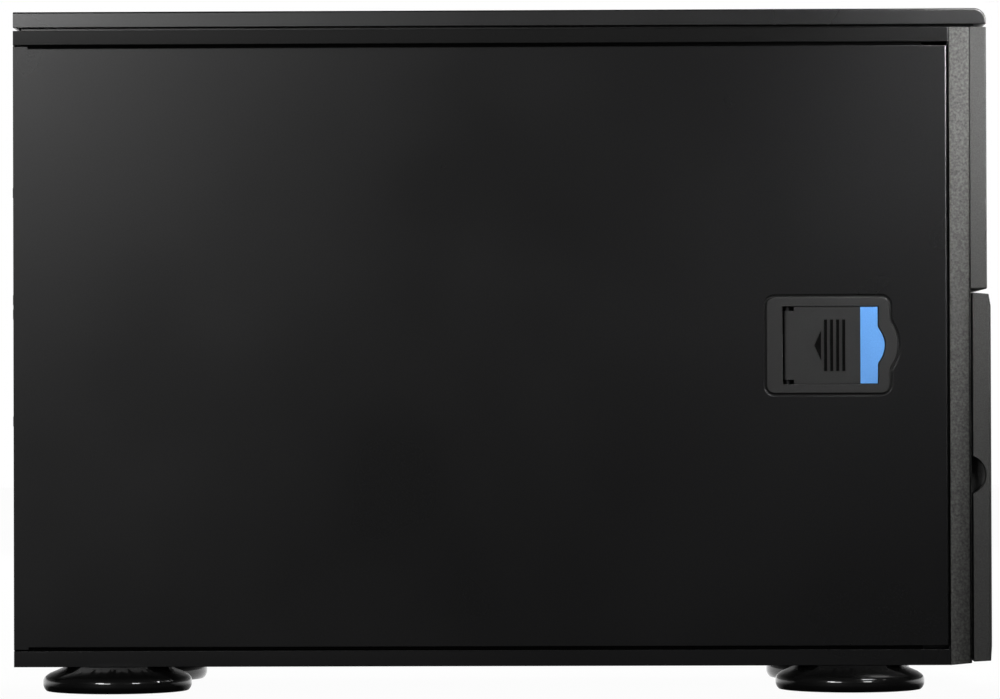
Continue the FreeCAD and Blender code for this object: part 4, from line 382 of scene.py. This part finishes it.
# Lacquered board: a satin green skin over copper lines.
tree, shader, place = grained(
    "lacquered_board", "circuit_board", "#0d3a20", "#114728", 0.7, 0.004, (0.32, 0.40), IOR=1.5)[1:]
turned = add_node(tree, "ShaderNodeMapping", {"Vector": place, "Rotation": (0, math.pi / 2, 0)})
tracks = add_node(tree, "ShaderNodeTexBrick", {
    "Vector": turned.outputs["Vector"], "Scale": per_mm(TRACK_PITCH), "Mortar Size": TRACK_WIDTH,
    "Color1": BLACK, "Color2": BLACK, "Mortar": WHITE})
lacquer = shader.inputs["Base Color"].links[0].from_socket
board = add_node(tree, "ShaderNodeMix", {
    "Factor": tracks.outputs["Fac"], "A": lacquer, "B": paint("#2c6b3d")}, data_type="RGBA")
tree.links.new(board.outputs["Result"], shader.inputs["Base Color"])

# %% [markdown]
# ## Finishes on the measured pieces
#
# The record of the measured model says which material slot each piece has, such as painted steel or latch
# plastic. So the finishes needn't be handed out one by one: each piece takes the finish of its slot. Four
# pieces differ from the others of their slot, and they are listed with the finish that is theirs alone.

# %% Finishes on the measured pieces
SPECIAL = {"bezel_frame": COARSE_ABS, "roof_panel": SHADED_STRIP_COAT, "side_panel": COVER_COAT,
           "latch_paddle": INKED}
for name, node in NODES.items():
    node.data.materials.clear()
    node.data.materials.append(SPECIAL.get(name, FINISHES[SLOT_OF[name]]))
print("pieces with a finish", len(NODES))

# %% [markdown]
# ## Softened edges
#
# A measured solid has edges of no width, and an edge of no width can't catch light. On the real server
# every fold and every moulded corner has a small radius, and in the photograph those radii are the thin
# bright lines that draw the shape. So the pieces that show are copied, their triangles are merged back
# into whole faces, and their sharp edges are bevelled by the radius that such a part has. The copy stands
# in for the measured piece.

# %% Helpers that soften a measured piece
CREASE, FLAT = math.radians(32), math.radians(0.5)
WELD = 0.002 * MM


def finish_shading(piece):
    """Smooth shading over rounded edges, by area, so that a flat face beside one still looks flat."""
    bpy.ops.object.shade_smooth_by_angle(angle=CREASE)
    weighted = piece.modifiers.new("flat_faces", "WEIGHTED_NORMAL")
    weighted.keep_sharp = True
    weighted.weight = 100
    bpy.ops.object.modifier_apply(modifier=weighted.name)


def merged_copy(node):
    """A copy of a measured piece, with its triangles merged into whole faces, left in edit mode."""
    bpy.ops.object.select_all(action="DESELECT")
    piece = bpy.data.objects.new(node + "_soft", NODES[node].data.copy())
    bpy.context.scene.collection.objects.link(piece)
    bpy.context.view_layer.objects.active = piece
    piece.select_set(True)
    bpy.ops.object.mode_set(mode="EDIT")
    bpy.ops.mesh.select_mode(type="EDGE")
    bpy.ops.mesh.select_all(action="SELECT")
    bpy.ops.mesh.remove_doubles(threshold=WELD)
    bpy.ops.mesh.dissolve_limited(angle_limit=FLAT)
    return piece


def round_edges(piece, radius, segments, picks, sharp=25):
    """Bevels the convex edges above an angle in degrees that a rule picks by their middle in mm."""
    bpy.ops.mesh.select_mode(type="EDGE")
    bpy.ops.mesh.select_all(action="DESELECT")
    shape = bmesh.from_edit_mesh(piece.data)
    convex = [edge for edge in shape.edges if edge.is_convex]
    corners = [edge for edge in convex if edge.calc_face_angle(0) > math.radians(sharp)]
    picked = [edge for edge in corners if picks((edge.verts[0].co + edge.verts[1].co) / 2 / MM)]
    for edge in picked:
        edge.select_set(True)
    bmesh.update_edit_mesh(piece.data)
    if picked:
        bpy.ops.mesh.bevel(offset=radius * MM, segments=segments, affect="EDGES", clamp_overlap=False,
                           loop_slide=False)
    return len(picked)


def stand_in(piece, node):
    """Leaves edit mode and puts a copy in the place of its measured piece."""
    bpy.ops.object.mode_set(mode="OBJECT")
    finish_shading(piece)
    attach(piece, BODY_OF[node])
    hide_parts(node)


def softened(node, *rounds, sharp=25):
    """Stands a copy with rounded edges in for a measured piece. A round is a radius, segments and a rule."""
    piece = merged_copy(node)
    counts = [round_edges(piece, *bevel, sharp=sharp) for bevel in rounds]
    stand_in(piece, node)
    print("softened", node, "edges", counts, "faces", len(piece.data.polygons))


def everywhere(middle):
    """The rule that picks every sharp edge."""
    return True


print("faces are merged where they turn by less than", round(math.degrees(FLAT), 1), "degrees")

# %% [markdown]
# ### The feet
#
# Each foot is a polished disc whose shoulder rolls over into its rim in one smooth curve. The measured
# solid draws that curve with a few straight steps, and wide bevels turn them back into the curve. It
# matters here, because the two bright spots on each foot lie just where the shoulder starts to turn.

# %% Feet
SHOULDER, RIM_LOW, RIM_HIGH = 2.4, 2, 15


def on_shoulder(middle):
    """The rule that picks the steps of the shoulder and the rim."""
    return RIM_LOW < middle.z < RIM_HIGH


for corner in ("front_left", "front_right", "rear_left", "rear_right"):
    softened("foot_" + corner, (SHOULDER, 6, on_shoulder), sharp=15)

# %% [markdown]
# ### Folded sheet
#
# A fold in 1.2 mm sheet has an outer radius about as large as the sheet is thick, and powder coat rounds a
# cut edge a little. The front fold of the side cover is the brightest line in the photograph after the
# feet. The opening for the latch is rolled in, so its edge has a radius too.

# %% Folded sheet
BOX = {name: [corner / MM for corner in map(Vector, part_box(name))] for name in NODES}
FOLD, STRIP_FOLD, WALL_FOLD, ROLLED, CUT, THIN_CUT = 1.1, 0.8, 0.9, 0.6, 0.35, 0.3
NEAR_SIDE, FAR_SIDE = BOX["side_panel"][0].x + 0.1, BOX["right_wall"][1].x - 0.1
COVER_FRONT, COVER_REAR = BOX["side_panel"][0].y + 0.1, BOX["side_panel"][1].y - 0.1
LATCH_LOW, LATCH_HIGH = BOX["latch_housing"]


def on_near_side(middle):
    """The rule that picks edges on the access side."""
    return middle.x < NEAR_SIDE


def round_latch(middle):
    """The rule that picks the edge of the latch opening on the access side."""
    along = LATCH_LOW.y < middle.y < LATCH_HIGH.y
    return on_near_side(middle) and along and LATCH_LOW.z < middle.z < LATCH_HIGH.z


softened("side_panel",
         (FOLD, 5, lambda middle: on_near_side(middle) and middle.y < COVER_FRONT),
         (ROLLED, 3, round_latch),
         (CUT, 2, on_near_side))
for strip in ("roof_panel", "floor_pan"):
    front = BOX[strip][0].y + 0.1
    softened(strip,
             (STRIP_FOLD, 4, lambda middle: on_near_side(middle) and middle.y < front),
             (CUT, 2, on_near_side))
softened("right_wall", (WALL_FOLD, 4, lambda middle: middle.x > FAR_SIDE))
softened("rear_wall", (THIN_CUT, 2, lambda middle: middle.y > COVER_REAR))

# %% [markdown]
# ### Mouldings in front and on top
#
# A mould is cut with a rounded tool, so every outer corner of a moulding has a radius of a few tenths of a
# millimetre. On the door and the fascia these radii make the pale line along the top of the door and the
# soft edges of the vent slots.

# %% Mouldings in front and on top
SKIN_FRONT = BOX["upper_fascia"][0].y + 1.6
BLANK_FOOT = BOX["bay_blank_1"][0].z - 1
NOTCH_SIDE, NOTCH_TOP = 76, 300
BEZEL_SIDE, BEZEL_FOOT = 88.5, 20


def on_bezel_side(middle):
    """The rule that picks the outer edges of the bezel, above its foot."""
    return abs(middle.x) > BEZEL_SIDE and middle.z > BEZEL_FOOT


def on_fascia_front(middle):
    """The rule that picks the front of the fascia, away from its foot and its hinge notch."""
    clear_of_notch = abs(middle.x) < NOTCH_SIDE or middle.z > NOTCH_TOP
    return middle.y < SKIN_FRONT and middle.z > BLANK_FOOT and clear_of_notch


softened("top_cover", (0.4, 3, everywhere))
softened("bezel_frame", (0.45, 3, on_bezel_side))
softened("upper_fascia", (0.35, 3, on_fascia_front))
softened("front_door", (0.28, 3, everywhere))
softened("door_grille", (0.4, 2, everywhere))
for row in ("1", "2", "3"):
    softened("bay_blank_" + row, (0.4, 3, everywhere))

# %% [markdown]
# ### Controls
#
# The buttons, the lock and the sockets in front are small, and a finger or a key meets them, so their
# edges are broken by a quarter of a millimetre or less.

# %% Controls
for button in ("power_button", "reset_button"):
    softened(button, (0.25, 2, everywhere))
for metal in ("lock_barrel", "usb_ports"):
    softened(metal, (0.2, 2, everywhere))

# %% [markdown]
# ### The latch
#
# The housing, the paddle and the blue tab are three mouldings a third of a millimetre apart. Softening
# their edges makes the dark line between them read as a gap. The ribs and the arrow stand only a little
# above the paddle, so they get a finer radius.

# %% Latch
HOUSING_FRONT, HOUSING_FACE = -195, -88.8


def on_housing_face(middle):
    """The rule that picks the bulged front end of the housing and the edges of its outer face."""
    return middle.y < HOUSING_FRONT or middle.x < HOUSING_FACE


softened("latch_housing", (0.3, 3, on_housing_face))
softened("latch_paddle", (0.1, 2, everywhere))
softened("latch_grip", (0.4, 3, everywhere))

# %% [markdown]
# ### The rear and the drive trays
#
# The plated covers, the socket shells and the power supply are thin sheet with small radii. The fan guards
# and the drive trays behind the door are mouldings, and their bars and grips are a little rounder.

# %% Rear and drive trays
REAR_RADII = {"slot_covers": 0.25, "psu_case": 0.2, "psu_inlet": 0.25, "io_shield": 0.2,
              "rear_fan_guards": 0.3, "drive_trays": 0.3}
for node, radius in REAR_RADII.items():
    softened(node, (radius, 2, everywhere))

# %% [markdown]
# ### Sockets at the rear
#
# The measured sockets are blocks. A real block of this kind is a folded metal shell round an opening, so
# the openings are made here: the two upper blocks are split down the middle into pairs of flat openings,
# and each of the two tall ones gets the recess of a serial socket. A face is cut, inset and pushed in,
# which keeps the shell in one piece. Modelling each shell as bent sheet would cost more and look the same.

# %% Openings in the sockets
PORT_FACE = BOX["io_ports"][1].y
PAIRS = ((293.6, 308.2), (313.7, 328.3))
SERIAL = ((177.6, 208.6), (214.1, 245.1))
PAIR_MIDDLE, PAIR_RIM, PAIR_DEPTH = 71.9, 1.1, 9
SERIAL_HALF, SERIAL_RIM, SERIAL_DEPTH = 9.2, 1.6, 5


def select_outer(piece, low, high):
    """Selects the faces of the sockets that look out of the rear between two heights in mm."""
    bpy.ops.mesh.select_mode(type="FACE")
    bpy.ops.mesh.select_all(action="DESELECT")
    shape = bmesh.from_edit_mesh(piece.data)
    for face in shape.faces:
        middle = face.calc_center_median() / MM
        if face.normal.y > 0.9 and middle.y > PORT_FACE - 0.1 and low < middle.z < high:
            face.select_set(True)
    bmesh.update_edit_mesh(piece.data)


def push_out(depth):
    """Extrudes what is selected towards the rear by a depth in mm, or into the piece by a negative one."""
    bpy.ops.mesh.extrude_region_move(TRANSFORM_OT_translate={"value": (0, depth * MM, 0)})


ports = merged_copy("io_ports")
for low, high in PAIRS:
    select_outer(ports, low, high)
    bpy.ops.mesh.bisect(plane_co=(PAIR_MIDDLE * MM, 0, 0), plane_no=(1, 0, 0))
    select_outer(ports, low, high)
    bpy.ops.mesh.inset(thickness=PAIR_RIM * MM, use_individual=True)
    push_out(-PAIR_DEPTH)
for low, high in SERIAL:
    centre = (low + high) / 2
    bounds = (centre - SERIAL_HALF, centre + SERIAL_HALF)
    for cut in bounds:
        select_outer(ports, low, high)
        bpy.ops.mesh.bisect(plane_co=(0, 0, cut * MM), plane_no=(0, 0, 1))
    select_outer(ports, *bounds)
    bpy.ops.mesh.inset(thickness=SERIAL_RIM * MM)
    push_out(-SERIAL_DEPTH)
print("rounded", round_edges(ports, 0.25, 2, everywhere))
stand_in(ports, "io_ports")
print("sockets with openings, faces", len(ports.data.polygons))

# %% [markdown]
# ### Small parts at the rear
#
# Screws hold the slot covers and the power supply, hexagonal posts take the screws of a serial plug, and
# plastic tongues, blocks and inserts carry the contacts of the sockets. None of them shows in the
# photograph, but a rear without them looks unfinished. Each kind starts as a primitive lying in its place,
# is shaped in edit mode, and is then copied. These helpers hold the steps that every kind goes through.

# %% Helpers for small parts
def begin(name, kind, place, measures, **settings):
    """A primitive at a place in mm, scaled by its width, height and depth, facing the rear, in edit mode."""
    bpy.ops.object.select_all(action="DESELECT")
    kind(location=Vector(place) * MM, rotation=(-math.pi / 2, 0, 0), **settings)
    piece = bpy.context.object
    piece.name = name
    piece.scale = Vector(measures) * MM
    bpy.ops.object.transform_apply(location=True, rotation=True, scale=True)
    bpy.ops.object.mode_set(mode="EDIT")
    return piece


def select_rear_face(piece):
    """Selects the face that looks out of the rear."""
    bpy.ops.mesh.select_mode(type="FACE")
    bpy.ops.mesh.select_all(action="DESELECT")
    shape = bmesh.from_edit_mesh(piece.data)
    max(shape.faces, key=lambda face: face.calc_center_median().y).select_set(True)
    bmesh.update_edit_mesh(piece.data)


def dimple(piece, rim, depth):
    """Leaves a rim round the rear face and pushes the rest in."""
    select_rear_face(piece)
    bpy.ops.mesh.inset(thickness=rim * MM)
    push_out(-depth)


def complete(piece, slot):
    """Leaves edit mode and gives a chassis part its shading and the finish of its slot."""
    bpy.ops.object.mode_set(mode="OBJECT")
    finish_shading(piece)
    piece.data.materials.clear()
    piece.data.materials.append(FINISHES[slot])
    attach(piece, "chassis")


def repeat(piece, moves):
    """Copies a finished part, with a mesh of its own, once for each move in mm."""
    for count, move in enumerate(moves, 2):
        twin = piece.copy()
        twin.data = piece.data.copy()
        twin.name = piece.name[:-1] + str(count)
        bpy.context.scene.collection.objects.link(twin)
        twin.data.transform(Matrix.Translation(Vector(move) * MM))
        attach(twin, "chassis")
    print(piece.name[:-2], len(moves) + 1)


cylinder, cube = bpy.ops.mesh.primitive_cylinder_add, bpy.ops.mesh.primitive_cube_add
PSU_FACE = BOX["psu_case"][1].y
print("power supply ends at y", round(PSU_FACE, 1), "and the sockets at y", round(PORT_FACE, 1), "in mm")

# %% [markdown]
# ### Screws
#
# Four screws hold the power supply and one holds each slot cover. A head is a disc with a shallow dimple
# and a rounded rim. The heads are kept low, because nothing but the fan guards stands out in the
# photograph.

# %% Screws
HEAD_RADIUS, HEAD_DEPTH = 3, 0.7
SCREW_X, SCREW_LOW, SCREW_HIGH = 66.5, 360.8, 427.8
COVER_SCREW_X, FIRST_SLOT, SLOT_PITCH, SLOTS = 72, 40.5, 20.32, 7
screw = begin("rear_screw_1", cylinder, (SCREW_X, PSU_FACE + HEAD_DEPTH / 2, SCREW_LOW),
              (HEAD_RADIUS, HEAD_RADIUS, HEAD_DEPTH), vertices=32, radius=1, depth=1)
dimple(screw, 1.5, 0.4)
round_edges(screw, 0.2, 3, everywhere)
complete(screw, "pin_steel")
across, up = -2 * SCREW_X, SCREW_HIGH - SCREW_LOW
slot_rows = [FIRST_SLOT + SLOT_PITCH * row for row in range(SLOTS)]
repeat(screw, [(across, 0, 0), (0, 0, up), (across, 0, up)]
       + [(COVER_SCREW_X - SCREW_X, 0, row - SCREW_LOW) for row in slot_rows])

# %% [markdown]
# ### Serial sockets
#
# Each tall socket has a block of contacts in its recess and a hexagonal post above and below it. A
# cylinder with six sides is already a hexagon, so the post only needs its hole and its broken edges.

# %% Posts and blocks of the serial sockets
SERIAL_X, POST_REACH, POST_RADIUS, POST_DEPTH = 73.7, 12.4, 2.6, 0.34
first_row, second_row = [(low + high) / 2 for low, high in SERIAL]
SERIAL_PITCH = second_row - first_row
post = begin("serial_post_1", cylinder, (SERIAL_X, PORT_FACE + POST_DEPTH / 2, first_row - POST_REACH),
             (POST_RADIUS, POST_RADIUS, POST_DEPTH), vertices=6, radius=1, depth=1)
dimple(post, 1.2, 0.25)
round_edges(post, 0.08, 2, everywhere)
complete(post, "zinc_steel")
repeat(post, [
    (0, 0, 2 * POST_REACH), (0, 0, SERIAL_PITCH), (0, 0, 2 * POST_REACH + SERIAL_PITCH)])

BLOCK_SIZE, BLOCK_INSET = (6.6, 13.0, 3.2), 3.4
block = begin("serial_block_1", cube, (SERIAL_X, PORT_FACE - BLOCK_INSET, first_row), BLOCK_SIZE, size=1)
dimple(block, 1.1, 0.5)
round_edges(block, 0.5, 3, everywhere)
complete(block, "socket_plastic")
repeat(block, [(0, 0, SERIAL_PITCH)])

# %% [markdown]
# ### Network sockets and flat pairs
#
# A network socket has a hollow plastic insert, and each flat opening of the upper sockets has a plastic
# tongue that carries its contacts. The insert is a block with a deep dimple, and the tongue is a plate
# with a stepped nose.

# %% Network inserts and tongues
INSERT_PLACE, INSERT_SIZE, INSERT_PITCH = (72.9, 315, 258.6), (8, 11.4, 8.8), 21.5
insert = begin("network_insert_1", cube, INSERT_PLACE, INSERT_SIZE, size=1)
dimple(insert, 0.9, 6)
round_edges(insert, 0.2, 2, everywhere)
complete(insert, "socket_plastic")
repeat(insert, [(0, 0, INSERT_PITCH)])

TONGUE_X, TONGUE_STEP, TONGUE_SIZE, TONGUE_INSET = 67.2, 7.8, (1.9, 10.6, 7.9), 5
lower_pair, upper_pair = [(low + high) / 2 for low, high in PAIRS]
PAIR_PITCH = upper_pair - lower_pair
tongue = begin("port_tongue_1", cube, (TONGUE_X, PORT_FACE - TONGUE_INSET, lower_pair), TONGUE_SIZE, size=1)
select_rear_face(tongue)
bpy.ops.mesh.inset(thickness=0.3 * MM)
push_out(0.4)
round_edges(tongue, 0.15, 2, everywhere)
complete(tongue, "socket_plastic")
repeat(tongue, [
    (TONGUE_STEP, 0, 0), (0, 0, PAIR_PITCH), (TONGUE_STEP, 0, PAIR_PITCH)])

# %% [markdown]
# ### Rocker switch
#
# The power supply is switched by a rocker in a frame. The frame is a plate with a recess, and the rocker
# is a plate that is cut across its middle and pressed in there, so that its two halves slope towards each
# other.

# %% Rocker switch
SWITCH_X, SWITCH_Z = 46, 369.5
FRAME_SIZE, ROCKER_SIZE = (20, 13, 1), (16.2, 9.2, 0.7)
ROCKER_RISE, ROCKER_DIP = 0.75, 0.35
switch_frame = begin("switch_frame", cube, (SWITCH_X, PSU_FACE + FRAME_SIZE[2] / 2, SWITCH_Z),
                     FRAME_SIZE, size=1)
dimple(switch_frame, 1.6, 0.6)
round_edges(switch_frame, 0.3, 3, everywhere)
complete(switch_frame, "socket_plastic")
rocker = begin("switch_rocker", cube, (SWITCH_X, PSU_FACE + ROCKER_RISE, SWITCH_Z), ROCKER_SIZE, size=1)
bpy.ops.mesh.select_all(action="SELECT")
bpy.ops.mesh.bisect(plane_co=(SWITCH_X * MM, 0, 0), plane_no=(1, 0, 0))
bpy.ops.mesh.select_mode(type="VERT")
bpy.ops.mesh.select_all(action="DESELECT")
shape = bmesh.from_edit_mesh(rocker.data)
for vert in shape.verts:
    if vert.co.y > (PSU_FACE + ROCKER_RISE) * MM and abs(vert.co.x / MM - SWITCH_X) < 1:
        vert.select_set(True)
shape.select_flush(True)
bmesh.update_edit_mesh(rocker.data)
bpy.ops.transform.translate(value=(0, -ROCKER_DIP * MM, 0))
round_edges(rocker, 0.15, 2, everywhere)
complete(rocker, "button_plastic")
print("switch at height in mm", SWITCH_Z)

# %% [markdown]
# ## Foam strips and painted shade round the side cover
#
# The side cover closes on foam strips, which stop rattle and leaks. They are also black sheets put where the
# gaps round it are in shade, so that those gaps look black.
# A strip could be drawn as a profile and swept. It is straight here, so a block at its size and place is
# enough to start from, and the edges of its outer face are rounded as die-cut foam is when it is pressed.
# The upper and the lower strip lie on the ledges behind their gaps, and the front one lies on the edge of
# the front wall.

# %% Foam strips and painted shade
FOAM_DEPTH, FOAM_ROUND = 0.25, 0.2


def foam_strip(name, ledge, along, heights):
    """A strip of black foam on a ledge, standing for the shade in its gap, between two places along the
    server and two heights in mm.
    """
    low = Vector((ledge - FOAM_DEPTH, along[0], heights[0])) * MM
    high = Vector((ledge, along[1], heights[1])) * MM
    bpy.ops.object.select_all(action="DESELECT")
    bpy.ops.mesh.primitive_cube_add(size=1, location=(low + high) / 2)
    strip = bpy.context.object
    strip.name = name
    strip.scale = high - low
    bpy.ops.object.transform_apply(location=True, rotation=False, scale=True)
    bpy.ops.object.mode_set(mode="EDIT")
    bpy.ops.mesh.select_mode(type="EDGE")
    bpy.ops.mesh.select_all(action="DESELECT")
    shape = bmesh.from_edit_mesh(strip.data)
    for edge in shape.edges:
        if all(vert.co.x < low.x + 0.01 * MM for vert in edge.verts):
            edge.select_set(True)
    bmesh.update_edit_mesh(strip.data)
    bpy.ops.mesh.bevel(offset=FOAM_ROUND * MM, segments=3, affect="EDGES")
    bpy.ops.object.mode_set(mode="OBJECT")
    finish_shading(strip)
    strip.data.materials.append(SHADE_CELL_RUBBER)
    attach(strip, "chassis")
    print(name, "length in mm", round(max(high - low) / MM, 1))


LEDGE, LEDGE_RUN = -87.4, (-279.5, 317.3)
UPPER_GAP, LOWER_GAP, FRONT_GAP, FRONT_RUN = (427.7, 429.9), (28.1, 30.3), (-297.6, -296.6), (30, 428)
foam_strip("foam_upper", LEDGE, LEDGE_RUN, UPPER_GAP)
foam_strip("foam_lower", LEDGE, LEDGE_RUN, LOWER_GAP)
foam_strip("foam_front", BOX["front_wall"][0].x, FRONT_GAP, FRONT_RUN)

# %% [markdown]
# ## Floor
#
# A product photographer stands a black object on white paper. The white here is the paper's own, seen by
# the camera and by mirror-like surfaces, so no extra light falls on the object. The sheet starts under the
# server, so that its side mirrors the dim floor in front of it, which is how a photographer keeps a black
# side black.

# %% Floor
FLOOR_SIDE, PAPER_EDGE, PAPER_FADE = 14.0, 0.02, 0.1
PAPER_WHITE = 0.97


def shown_white(tree, path, behind):
    """One where the camera looks, and as much as lies behind the server where a mirror or glass looks."""
    mirrored = add_node(tree, "ShaderNodeMath", {
        0: path.outputs["Is Glossy Ray"], 1: path.outputs["Is Transmission Ray"]}, operation="MAXIMUM")
    reached = add_node(tree, "ShaderNodeMath", {0: mirrored.outputs[0], 1: behind}, operation="MULTIPLY")
    return add_node(tree, "ShaderNodeMath", {
        0: path.outputs["Is Camera Ray"], 1: reached.outputs[0]}, operation="MAXIMUM").outputs[0]


bpy.ops.object.select_all(action="DESELECT")
bpy.ops.mesh.primitive_plane_add(size=FLOOR_SIDE)
floor = bpy.context.object
floor.name = "studio_floor"
# Matt paper: white to the camera, but dark to the server in front of it, where white would brighten its side.
paper, tree, shader, place = new_finish("white_paper", Roughness=0.9)
across = add_node(tree, "ShaderNodeSeparateXYZ", {0: place}).outputs["X"]
behind = add_node(tree, "ShaderNodeMapRange", {
    "Value": across, "From Min": PAPER_EDGE - PAPER_FADE, "From Max": PAPER_EDGE}).outputs["Result"]
sheet = add_node(tree, "ShaderNodeMix", {
    "Factor": behind, "A": paint("#171717"), "B": paint("#ededed")}, data_type="RGBA")
tree.links.new(sheet.outputs["Result"], shader.inputs["Base Color"])
seen = shown_white(tree, add_node(tree, "ShaderNodeLightPath"), behind)
share = add_node(tree, "ShaderNodeMath", {0: seen, 1: PAPER_WHITE}, operation="MULTIPLY")
white = add_node(tree, "ShaderNodeEmission", {"Color": WHITE, "Strength": 1.0})
blend = add_node(tree, "ShaderNodeMixShader", {
    0: share.outputs[0], 1: shader.outputs["BSDF"], 2: white.outputs["Emission"]})
tree.links.new(blend.outputs["Shader"], tree.nodes["Material Output"].inputs["Surface"])
floor.data.materials.append(paper)
print("floor side in m", FLOOR_SIDE)

# %% [markdown]
# ## Room
#
# Round the server is a white sweep for the camera and a dim room for everything else. A glossy surface
# sees the sweep only low down behind the server, and an even darker room elsewhere, because a black gloss
# shows every bright wall. One background holds the room, a second one holds the white, and the kind of ray
# decides between them.

# %% Room
ROOM_LEVEL, ROOM_MIRRORED = 0.1, 0.04
SWEEP_START, SWEEP_FULL = 0.0, 0.4
SWEEP_LOW, SWEEP_TOP = 0.1, 0.25
world = bpy.data.worlds.new("studio_room")
bpy.context.scene.world = world
world.use_nodes = True
tree = world.node_tree
room = tree.nodes["Background"]
room.inputs["Color"].default_value = WHITE
path = add_node(tree, "ShaderNodeLightPath")
level = add_node(tree, "ShaderNodeMapRange", {
    "Value": path.outputs["Is Glossy Ray"], "To Min": ROOM_LEVEL, "To Max": ROOM_MIRRORED})
tree.links.new(level.outputs["Result"], room.inputs["Strength"])
way = add_node(tree, "ShaderNodeSeparateXYZ", {0: add_node(tree, "ShaderNodeTexCoord").outputs["Generated"]})
far = add_node(tree, "ShaderNodeMapRange", {
    "Value": way.outputs["X"], "From Min": SWEEP_START, "From Max": SWEEP_FULL})
low = add_node(tree, "ShaderNodeMapRange", {
    "Value": way.outputs["Z"], "From Min": SWEEP_TOP, "From Max": SWEEP_LOW})
behind = add_node(tree, "ShaderNodeMath", {
    0: far.outputs["Result"], 1: low.outputs["Result"]}, operation="MULTIPLY").outputs[0]
sweep = add_node(tree, "ShaderNodeBackground", {"Color": WHITE, "Strength": 1.0})
blend = add_node(tree, "ShaderNodeMixShader", {
    0: shown_white(tree, path, behind), 1: room.outputs["Background"], 2: sweep.outputs["Background"]})
tree.links.new(blend.outputs["Shader"], tree.nodes["World Output"].inputs["Surface"])
print("room level", ROOM_LEVEL, "and in mirrors", ROOM_MIRRORED)

# %% [markdown]
# ## Lights
#
# Two small soft boxes stand above the camera, one to each side of it, and their reflections draw the two
# bright spots on each foot. A large board on the rear side brightens that end of the cover and the lid. A
# soft box close above the front makes the grained bezel pale at the top and dark at the foot, and a narrow
# strip light beside the front corner draws the bright line on the fold there. The other sides are lit by
# large boards beyond the server, which the photographed side never faces. Two of these would show as glare
# on the lid, so mirrors don't see them.

# %% Lights
def soft_box(name, place, target, size, power, spread=180, mirrored=True):
    """An area light that faces its target, in metres and watts. A small spread is a grid on its front."""
    lamp = bpy.data.lights.new(name, "AREA")
    lamp.shape = "RECTANGLE"
    lamp.size, lamp.size_y = size
    lamp.energy = power
    lamp.spread = math.radians(spread)
    stand = bpy.data.objects.new(name, lamp)
    bpy.context.scene.collection.objects.link(stand)
    stand.location = place
    stand.rotation_euler = (Vector(target) - Vector(place)).to_track_quat("-Z", "Y").to_euler()
    stand.visible_camera = False
    stand.visible_glossy = mirrored
    print(name, power, "W")


soft_box("soft_box_rear_side", (-2.2, 1.19, 1.15), (0, 0.1, 0.2), (0.55, 0.4), 14)
soft_box("soft_box_front_side", (-2.2, -1.24, 1.15), (0, -0.1, 0.2), (0.55, 0.4), 14)
soft_box("rear_board", (-2.48, 0.92, 0.88), (0, 0.3, 0.4), (0.8, 0.6), 16)
soft_box("soft_box_over_front", (-0.36, -0.46, 0.64), (-0.09, -0.325, 0.38), (0.2, 0.2), 0.55, spread=50)
soft_box("strip_front_corner", (-0.30, -0.66, 0.52), (-0.088, -0.298, 0.44), (0.04, 0.16), 0.45, spread=70)
soft_box("board_front", (1.5, -2.3, 2.3), (0, -0.3, 0.22), (1.2, 0.9), 36, mirrored=False)
soft_box("board_rear", (1.3, 2.5, 2.3), (0, 0.3, 0.22), (1.2, 0.9), 36, mirrored=False)
soft_box("board_far_side", (2.6, 0.2, 0.9), (0, 0, 0.25), (1.4, 0.9), 22)

# %% [markdown]
# ## Camera
#
# The photograph is almost level and square-on, from about three metres with a long lens. The front of the
# server is a little nearer than the rear, which is why its upper edges rise towards the right.

# %% Camera
CAMERA_PLACE = Vector((-3.0865, -0.0391, 0.1944))
LENS, SENSOR, SIGHT = 163.01, 36, 100
YAW, PITCH, ROLL = math.radians(0.7435), math.radians(0.6236), math.radians(-0.1814)
ahead = Vector((math.cos(PITCH) * math.cos(YAW), math.cos(PITCH) * math.sin(YAW), math.sin(PITCH)))
camera_data = bpy.data.cameras.new("camera")
camera_data.lens = LENS
camera_data.sensor_width = SENSOR
camera_data.clip_end = SIGHT
camera = bpy.data.objects.new("camera", camera_data)
bpy.context.scene.collection.objects.link(camera)
turn = ahead.to_track_quat("-Z", "Y").to_matrix() @ Matrix.Rotation(ROLL, 3, "Z")
camera.location = CAMERA_PLACE
camera.rotation_euler = turn.to_euler()
bpy.context.scene.camera = camera
bpy.context.scene.view_settings.view_transform = "Standard"
print("camera at", [round(v, 3) for v in camera.location])
